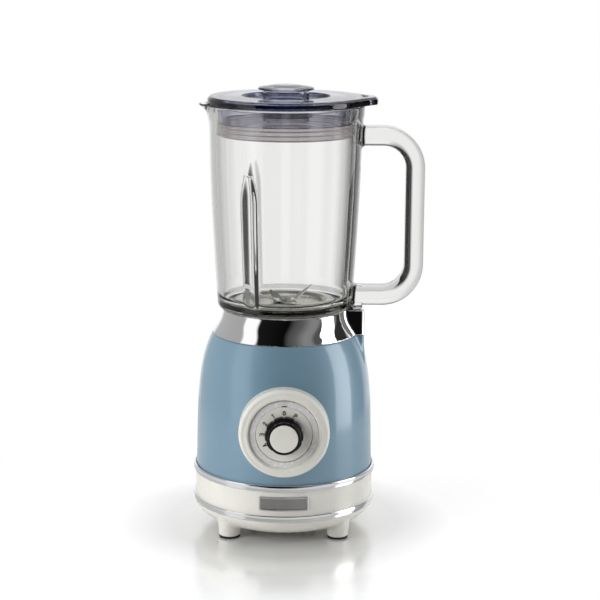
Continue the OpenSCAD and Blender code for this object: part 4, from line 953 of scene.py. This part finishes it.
def jug_field(x, y, z):
    """Wall, floor, spout, handle and lug of the jug, as one pressed body of glass."""
    r = np.hypot(x, y)
    body = both(off_side(jug_outside, r, z), z - jug_hi.z, 1.6 * MM)
    body = both(body, jug_lo.z - z, 4.6 * MM)
    spout_z = jug_hi.z - SPOUT_H
    cone_r = SPOUT_TIP_R + (SPOUT_R - SPOUT_TIP_R) * (z - spout_z) / SPOUT_H
    cone = rod(x, y, (jug_lo.x + SPOUT_R, 0), cone_r) * SPOUT_SLOPE
    spout = np.maximum(both(cone, z - jug_hi.z, 0.8 * MM), spout_z - z)
    body = either(body, spout, 3 * MM)
    lug = round_box(x, y, z, (JUG_FOOT_R + 3.8 * MM, 0, jug_lo.z + 6 * MM),
                    (9.8 * MM, LUG_HALF, 6 * MM), 1.5 * MM)
    body = either(body, np.minimum(handle_field(x, y, z), lug), 4 * MM)
    hollow = both(off_side(jug_outside, r, z, GLASS_WALL), floor_z - z, GLASS_FILLET)
    hollow = -either(-hollow, rib_field(x, y, z), 3 * MM)
    hollow = either(hollow, np.maximum(cone + SPOUT_WALL, spout_z - z), 2 * MM)
    solid = both(body, -hollow, 1.3 * MM)
    return both(solid, FLOOR_HOLE_R - r, 0.8 * MM)


jug_step = 1.1 * MM
jug = moulded("glass_body", jug_field, "glass_jug", "clear_glass", "jug", jug_step)


# ---------- blade unit ----------

PLATE_T = 1.2 * MM
HUB_R = 10.6 * MM
cup_r = FLOOR_HOLE_R - 0.6 * MM
cup_floor = plate_lo.z
turned("dished_plate", [
    (HUB_R, cup_floor, 0.2), (cup_r - 1 * MM, cup_floor, 2.2),
    (cup_r, plate_hi.z - PLATE_T, 0.8), (plate_hi.x, plate_hi.z - PLATE_T, 0.2),
    (plate_hi.x, plate_hi.z - 0.3 * MM, 0.5), (cup_r - 0.4 * MM, plate_hi.z, 1.6),
    (cup_r - 2.4 * MM, cup_floor + PLATE_T, 3.0), (HUB_R, cup_floor + PLATE_T, 0.3)],
    "blade_plate", "blade_steel", "jug", 6)

BLADE_T = 1.1 * MM
BLADE_L = 30 * MM
BLADE_ROOT = 9 * MM
BLADE_HALF_W = 5.4 * MM
BLADE_ROWS = 16


def blade_section(s, tilt):
    """Corners of a blade's section at s along its arm, which bends up by tilt past its root."""
    past = max(0, s - BLADE_ROOT)
    bend = math.radians(tilt) * min(1, max(0, (s - BLADE_ROOT + 2 * MM) / (5 * MM)))
    flat, rise = min(s, BLADE_ROOT) + past * math.cos(bend), past * math.sin(bend)
    share = past / (BLADE_L - BLADE_ROOT)
    lead = BLADE_HALF_W * (1 - 0.86 * share ** 1.5)
    trail = -BLADE_HALF_W * (1 - 0.80 * share ** 0.8)
    ground = lead - 0.45 * BLADE_HALF_W * (1 - 0.5 * share)
    corners = ((trail, 0), (lead - 0.2 * MM, 0), (lead, 0.12 * BLADE_T), (ground, BLADE_T),
               (trail + 0.15 * MM, BLADE_T))
    return [(flat - math.sin(bend) * up, v, rise + math.cos(bend) * up) for v, up in corners]


def blade(name, node, turn, tilts, seat_z):
    """Blade of two arms, tilted up by the two angles; the leading edges are ground thin."""
    mesh = bmesh.new()
    for side, tilt in enumerate(tilts):
        rows = []
        for k in range(BLADE_ROWS + 1):
            section = blade_section(BLADE_L * k / BLADE_ROWS, tilt)
            rows.append([mesh.verts.new(corner) for corner in section])
        for a, b in zip(rows, rows[1:]):
            for j in range(5):
                mesh.faces.new((a[j], a[(j + 1) % 5], b[(j + 1) % 5], b[j]))
        mesh.faces.new(rows[0])
        mesh.faces.new(rows[-1])
        if side == 0:
            bmesh.ops.rotate(mesh, verts=mesh.verts, cent=(0, 0, 0),
                             matrix=Matrix.Rotation(math.pi, 3, "Z"))
    bmesh.ops.recalc_face_normals(mesh, faces=mesh.faces)
    place = Matrix.Translation((0, 0, seat_z)) @ Matrix.Rotation(math.radians(turn), 4, "Z")
    bmesh.ops.transform(mesh, matrix=place, verts=mesh.verts)
    piece = piece_from(name, mesh)
    edges = piece.modifiers.new("soft edges", "BEVEL")
    edges.width, edges.segments, edges.limit_method = 0.1 * MM, 2, "ANGLE"
    dress(piece, "blade_steel", "blades", node)


blade_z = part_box("lower_blade")[0].z
blade("flat_blade", "lower_blade", -62, (12, 3), blade_z)
blade("winged_blade", "upper_blade", 18, (22, 36), blade_z + BLADE_T + 0.05 * MM)


# ---------- lid, seal and measuring cap ----------

def outline_field(points):
    """Signed distance to a closed (r, z) outline, negative inside."""
    points = np.array(points)

    def field(r, z):
        shape = np.broadcast(r, z).shape
        near, inside = np.full(shape, np.inf), np.zeros(shape, bool)
        for (x0, z0), (x1, z1) in zip(points, np.roll(points, -1, axis=0)):
            ex, ez = x1 - x0, z1 - z0
            if ex == 0 and ez == 0:
                continue
            t = np.clip(((r - x0) * ex + (z - z0) * ez) / (ex * ex + ez * ez), 0, 1)
            near = np.minimum(near, (r - x0 - t * ex) ** 2 + (z - z0 - t * ez) ** 2)
            if ez != 0:
                inside ^= ((z0 > z) != (z1 > z)) & (r < ex * (z - z0) / ez + x0)
        return np.where(inside, -1, 1) * np.sqrt(near)
    return field


LID_WALL = 2.4 * MM
LID_RECESS_R = 39.3 * MM
TUBE_R = 21.1 * MM
TAB_HALF = 10 * MM
lid_r = lid_hi.y
lid_z = jug_hi.z + 0.3 * MM
skirt_r = JUG_TOP_R - GLASS_WALL - 1.9 * MM
skirt_low_r = skirt_r - 1.6 * MM
recess_z = lid_hi.z - 4 * MM
tube_z = lid_z - 12 * MM
rim_edge = [(lid_r - 2.2 * MM, lid_hi.z - 0.25 * MM, 2.2),
            (lid_r, lid_hi.z - 2.6 * MM, 1.6), (lid_r, lid_z, 1.0)]
lid_outline = outline_field(rounded([
    (TUBE_R, tube_z, 0.6), (TUBE_R, recess_z, 0.8),
    (LID_RECESS_R - 1.8 * MM, recess_z, 1.4), (LID_RECESS_R, lid_hi.z, 0.9), *rim_edge,
    (skirt_r, lid_z, 0.8), (skirt_r, lid_lo.z + 13 * MM, 0.5),
    (skirt_low_r, lid_lo.z + 12 * MM, 0.2), (skirt_low_r, lid_lo.z, 0.4),
    (skirt_low_r - LID_WALL, lid_lo.z, 0.4), (skirt_low_r - LID_WALL, lid_z + 0.8 * MM, 1.5),
    (TUBE_R + LID_WALL, lid_z + 0.2 * MM, 1.5), (TUBE_R + LID_WALL, tube_z, 0.6)], 4))
rim_outline = outline_field(rounded([(lid_r - 9 * MM, lid_z), (lid_r - 9 * MM, lid_hi.z - 0.2 * MM),
                                     *rim_edge], 4))
# The tab's sides leave the round edge of the lid where they touch it
tab_end = lid_hi.x - 3.5 * MM
tab_swing = math.atan(TAB_HALF / tab_end) + math.acos(lid_r / math.hypot(tab_end, TAB_HALF))
touch_x, touch_y = lid_r * math.cos(tab_swing), lid_r * math.sin(tab_swing)
tab_x, tab_y = lid_hi.x - 1.2 * MM, TAB_HALF * 0.96
tab_outline = outline_field(rounded([(touch_x, touch_y, 0), (tab_x, tab_y, 4),
                                     (lid_hi.x, 0, 12), (tab_x, -tab_y, 4),
                                     (touch_x, -touch_y, 0)], 6))


def lid_field(x, y, z):
    """Turned lid, with its rim led on round the tab."""
    r = np.hypot(x, y)
    from_rim = np.minimum(r - lid_r, tab_outline(x, y))
    return np.minimum(lid_outline(r, z), rim_outline(from_rim + lid_r, z))


lid_step = 0.8 * MM
moulded("lid_moulding", lid_field, "lid", "smoke_plastic", "lid", lid_step)

SEAL_H = 12 * MM
seal_back = skirt_r - 1.55 * MM
seal_outline = [(seal_back, seal_lo.z, 0.1), (seal_back, seal_lo.z + SEAL_H - 0.2 * MM, 0.1)]
for lip in (2, 1, 0):
    foot = seal_lo.z + lip * SEAL_H / 3
    seal_outline += [(seal_back + 0.9 * MM, foot + 3.8 * MM, 0.5),
                     (seal_hi.x, foot + 2.5 * MM, 0.5), (seal_hi.x, foot + 1.7 * MM, 0.5),
                     (seal_back + 0.9 * MM, foot + 0.4 * MM, 0.5)]
turned("lipped_seal", seal_outline, "lid_seal", "soft_seal", "lid", 4)

CUP_OUT, CUP_IN = 20.6 * MM, 18.6 * MM
flange_z = cap_hi.z - 4.7 * MM
turned("pouring_cap", [
    (0, cap_hi.z), (cap_hi.x * 0.42, cap_hi.z - 0.45 * MM, 9),
    (cap_hi.x * 0.78, cap_hi.z - 1.8 * MM, 9), (cap_hi.x - 0.9 * MM, flange_z + 1.9 * MM, 1.2),
    (cap_hi.x, flange_z + 1.2 * MM, 0.5), (cap_hi.x - 0.2 * MM, flange_z, 0.5),
    (CUP_OUT, flange_z - 0.4 * MM, 0.8), (CUP_OUT, cap_lo.z, 0.7),
    (CUP_IN, cap_lo.z, 0.7), (CUP_IN, cap_hi.z - 3.9 * MM, 1.6),
    (0, cap_hi.z - 2.2 * MM)], "measuring_cap", "smoke_plastic", "cap", 6)


# ---------- studio ----------

# The camera stands where the photographer's did
CAMERA_LENS = 108.82
CAMERA_SHIFT = 0.0252
CAMERA_PLACE = (0, -1.6, 0.541583)
CAMERA_PITCH = 0.20645
CAMERA_ROLL = 0.00596
camera = bpy.data.cameras.new("camera")
camera.sensor_width = 36
camera.lens = CAMERA_LENS
camera.shift_x = CAMERA_SHIFT
camera.clip_end = 100
camera_place = placed("camera", camera)
camera_place.matrix_world = (Matrix.Translation(CAMERA_PLACE)
                             @ Matrix.Rotation(math.pi / 2 - CAMERA_PITCH, 4, "X")
                             @ Matrix.Rotation(CAMERA_ROLL, 4, "Z"))
scene.camera = camera_place


AIM = Vector((0, 0, 0.2))


def soft_box(name, azimuth, distance, height, width, tall, power):
    """Rectangular studio lamp, turned to the object. Azimuth 0 is the front, + is to the right."""
    light = bpy.data.lights.new(name, "AREA")
    light.shape, light.size, light.size_y, light.energy = "RECTANGLE", width, tall, power
    lamp = placed(name, light)
    a = math.radians(azimuth)
    place = Vector((distance * math.sin(a), -distance * math.cos(a), height))
    facing = (AIM - place).to_track_quat("-Z", "Y")
    lamp.matrix_world = Matrix.Translation(place) @ facing.to_matrix().to_4x4()
    lamp.visible_camera = False
    return lamp


left_box = soft_box("left_box", azimuth=-56, distance=1.5, height=0.62, width=1.05, tall=1.5, power=17)
left_box.visible_glossy = left_box.visible_transmission = False
right_box = soft_box("right_box", azimuth=84, distance=1.5, height=0.25, width=0.74, tall=2.2, power=21)
right_box.visible_transmission = False
soft_box("top_box", azimuth=180, distance=0.5, height=1.9, width=1.6, tall=1.6, power=6)
# The right box is kept off the glass, which is lit from behind alone
glassware = bpy.data.collections.new("glassware")
glassware.objects.link(jug)
right_box.light_linking.receiver_collection = glassware
for link in glassware.collection_objects:
    link.light_linking.link_state = "EXCLUDE"


def ramp_of(n, value, stops, low, high):
    """Grey level led by a value, from (place, level) and (from, to, level) stops."""
    stops = [(place, stop[-1]) for stop in stops for place in stop[:-1]]
    share = n.spread(value, 0.0, 1.0, low, high)
    ramp = n.add("ValToRGB", {"Fac": share})
    colours = ramp.color_ramp.elements
    while len(colours) < len(stops):
        colours.new(0.5)
    for element, (place, level) in zip(colours, stops):
        element.position = (place - low) / (high - low)
        element.color = (level, level, level, 1)
    return ramp.outputs[0]


# Levels by bearing, in degrees: 0 is the front of the room, 180 its back, and right is positive.
# What the surfaces mirror: a white backdrop, a lit panel on the left and a dark room in front
ROOM_STOPS = [(-180, -164, 1.0), (-152, 0.5), (-110, 0.44), (-84, 0.42), (-81, 0.5),
              (-78, -53, 1.15), (-48, 0.01), (4, 0.003), (14, 0.07), (30, 0.12), (46, 58, 0.24),
              (66, 88, 0.09), (98, 0.26), (104, 124, 0.03), (132, 180, 1.0)]
# What the glass shows: dark flags, which draw its edges, with lighter gaps between them
LEFT_FLAGS = [(-180, 1.0), (-174, 0.95), (-167, 0.72), (-150, 0.62), (-131, -127, 0.5),
              (-124, -116, 0.85), (-113, -99, 0.3), (-96, -84, 0.85), (-81, -66, 0.3),
              (-63, -39, 0.85), (-36, -9, 0.35), (-6, 0, 0.8)]
RIGHT_FLAGS = [(0, 6, 0.8), (9, 36, 0.3), (39, 63, 0.85), (66, 81, 0.2), (84, 96, 0.85),
               (99, 113, 0.03), (116, 123, 0.8), (126, 130, 0.012), (132, 138, 0.6),
               (140, 165, 0.012), (174, 180, 1.0)]
CEILING = (0.30, 0.30, 0.30)
OVERHEAD = (0.10, 0.10, 0.10)
ROOM_LEAN = 0.22        # degrees that the room's panels turn for each degree of height
ROOM_TURN = -4.0


def studio_world():
    """White behind the object, and a dim room with dark flags round it, by direction."""
    world = bpy.data.worlds.new("studio")
    scene.world = world
    n = Nodes(world)
    place = n.add("TexCoord").outputs["Generated"]
    axis = n.add("SeparateXYZ", {0: place}).outputs
    turn = n.math("ARCTAN2", axis["X"], n.math("MULTIPLY", axis["Y"], -1.0))
    bearing = n.math("MULTIPLY", turn, 180 / math.pi)
    rise = n.math("MULTIPLY", n.math("ARCSINE", axis["Z"]), 180 / math.pi)
    leaning = n.math("MULTIPLY_ADD", rise, ROOM_LEAN, n.math("ADD", bearing, ROOM_TURN))
    room = ramp_of(n, leaning, ROOM_STOPS, -180, 180)
    ceiling = ramp_of(n, rise, [(-90, 62, 0), (85, 1)], -90, 90)
    room = n.mix(ceiling, room, CEILING)
    left_flags = ramp_of(n, bearing, LEFT_FLAGS, -180, 0)
    right_flags = ramp_of(n, bearing, RIGHT_FLAGS, 0, 180)
    flags = n.mix(n.math("GREATER_THAN", bearing, 0.0), left_flags, right_flags)
    over = ramp_of(n, rise, [(-90, 15, 0), (24, 50, 1), (62, 0.3), (90, 0)], -90, 90)
    flags = n.mix(over, flags, OVERHEAD)
    path = n.add("LightPath").outputs
    seen = n.mix(path["Is Transmission Ray"], room, flags)
    seen = n.mix(path["Is Camera Ray"], seen, (1.0, 1.0, 1.0))
    back = n.add("Background", {"Color": seen, "Strength": 1.0})
    n.add("OutputWorld", {"Surface": back.outputs[0]})


studio_world()


FLOOR_R = 0.5
FLOOR_TONE = 0.80
MIRROR_NEAR = (0.10, 0.54)      # share mirrored, looked down on and at a glancing angle
MIRROR_FAR = 0.12               # what is left of that share past the object's reflection
LIFT = 0.42                     # brings the lit floor up to the white round it, for the camera
LIFT_IN_MIRROR = -0.45
ALL = (0.0, 1.0)                # from nothing to all of an effect


def studio_floor():
    """Glossy white sheet: it keeps the object's shadow and soft reflection, has painted shade round the
    object's foot, and fades to white.
    """
    mesh = bmesh.new()
    bmesh.ops.create_circle(mesh, cap_ends=True, radius=FLOOR_R, segments=96)
    floor = piece_from("floor", mesh)
    n = Nodes(bpy.data.materials.new("white_acrylic"))
    rough = n.spread(n.noise(3, 3), 0.15, 0.19)
    facing = n.add("LayerWeight", {"Blend": 0.5}).outputs["Facing"]
    away = n.add("VectorMath", {0: n.where()}, operation="LENGTH").outputs["Value"]
    mirror = n.math("MULTIPLY", n.spread(facing, *MIRROR_NEAR, 0.35, 0.72),
                    n.spread(away, 1.0, MIRROR_FAR, 0.17, 0.24))
    seen = n.add("LightPath").outputs["Is Camera Ray"]
    lift = n.math("MULTIPLY", seen, n.math("MULTIPLY_ADD", mirror, LIFT_IN_MIRROR, LIFT))
    # The lift is held back within 0.105 m of the axis and comes back by 0.155 m: painted shade on the
    # floor round the object's foot
    lift = n.math("MULTIPLY", lift, n.spread(away, *ALL, 0.105, 0.155))
    body = n.add("BsdfDiffuse", {"Color": (FLOOR_TONE, FLOOR_TONE, FLOOR_TONE, 1)})
    gloss = n.add("BsdfGlossy", {"Color": (1, 1, 1, 1), "Roughness": rough})
    sheet = n.add("MixShader", {0: mirror, 1: body.outputs[0], 2: gloss.outputs[0]})
    glow = n.add("Emission", {"Color": (1, 1, 1, 1), "Strength": lift})
    near = n.add("AddShader", {0: sheet.outputs[0], 1: glow.outputs[0]})
    far = n.add("Emission", {"Color": (1, 1, 1, 1), "Strength": 1.0})
    fade = n.math("MULTIPLY", n.spread(away, *ALL, 0.16, 0.34), seen)
    total = n.add("MixShader", {0: fade, 1: near.outputs[0], 2: far.outputs[0]})
    n.add("OutputMaterial", {"Surface": total.outputs[0]})
    floor.data.materials.append(n.owner)


studio_floor()
scene.view_settings.view_transform = "Standard"
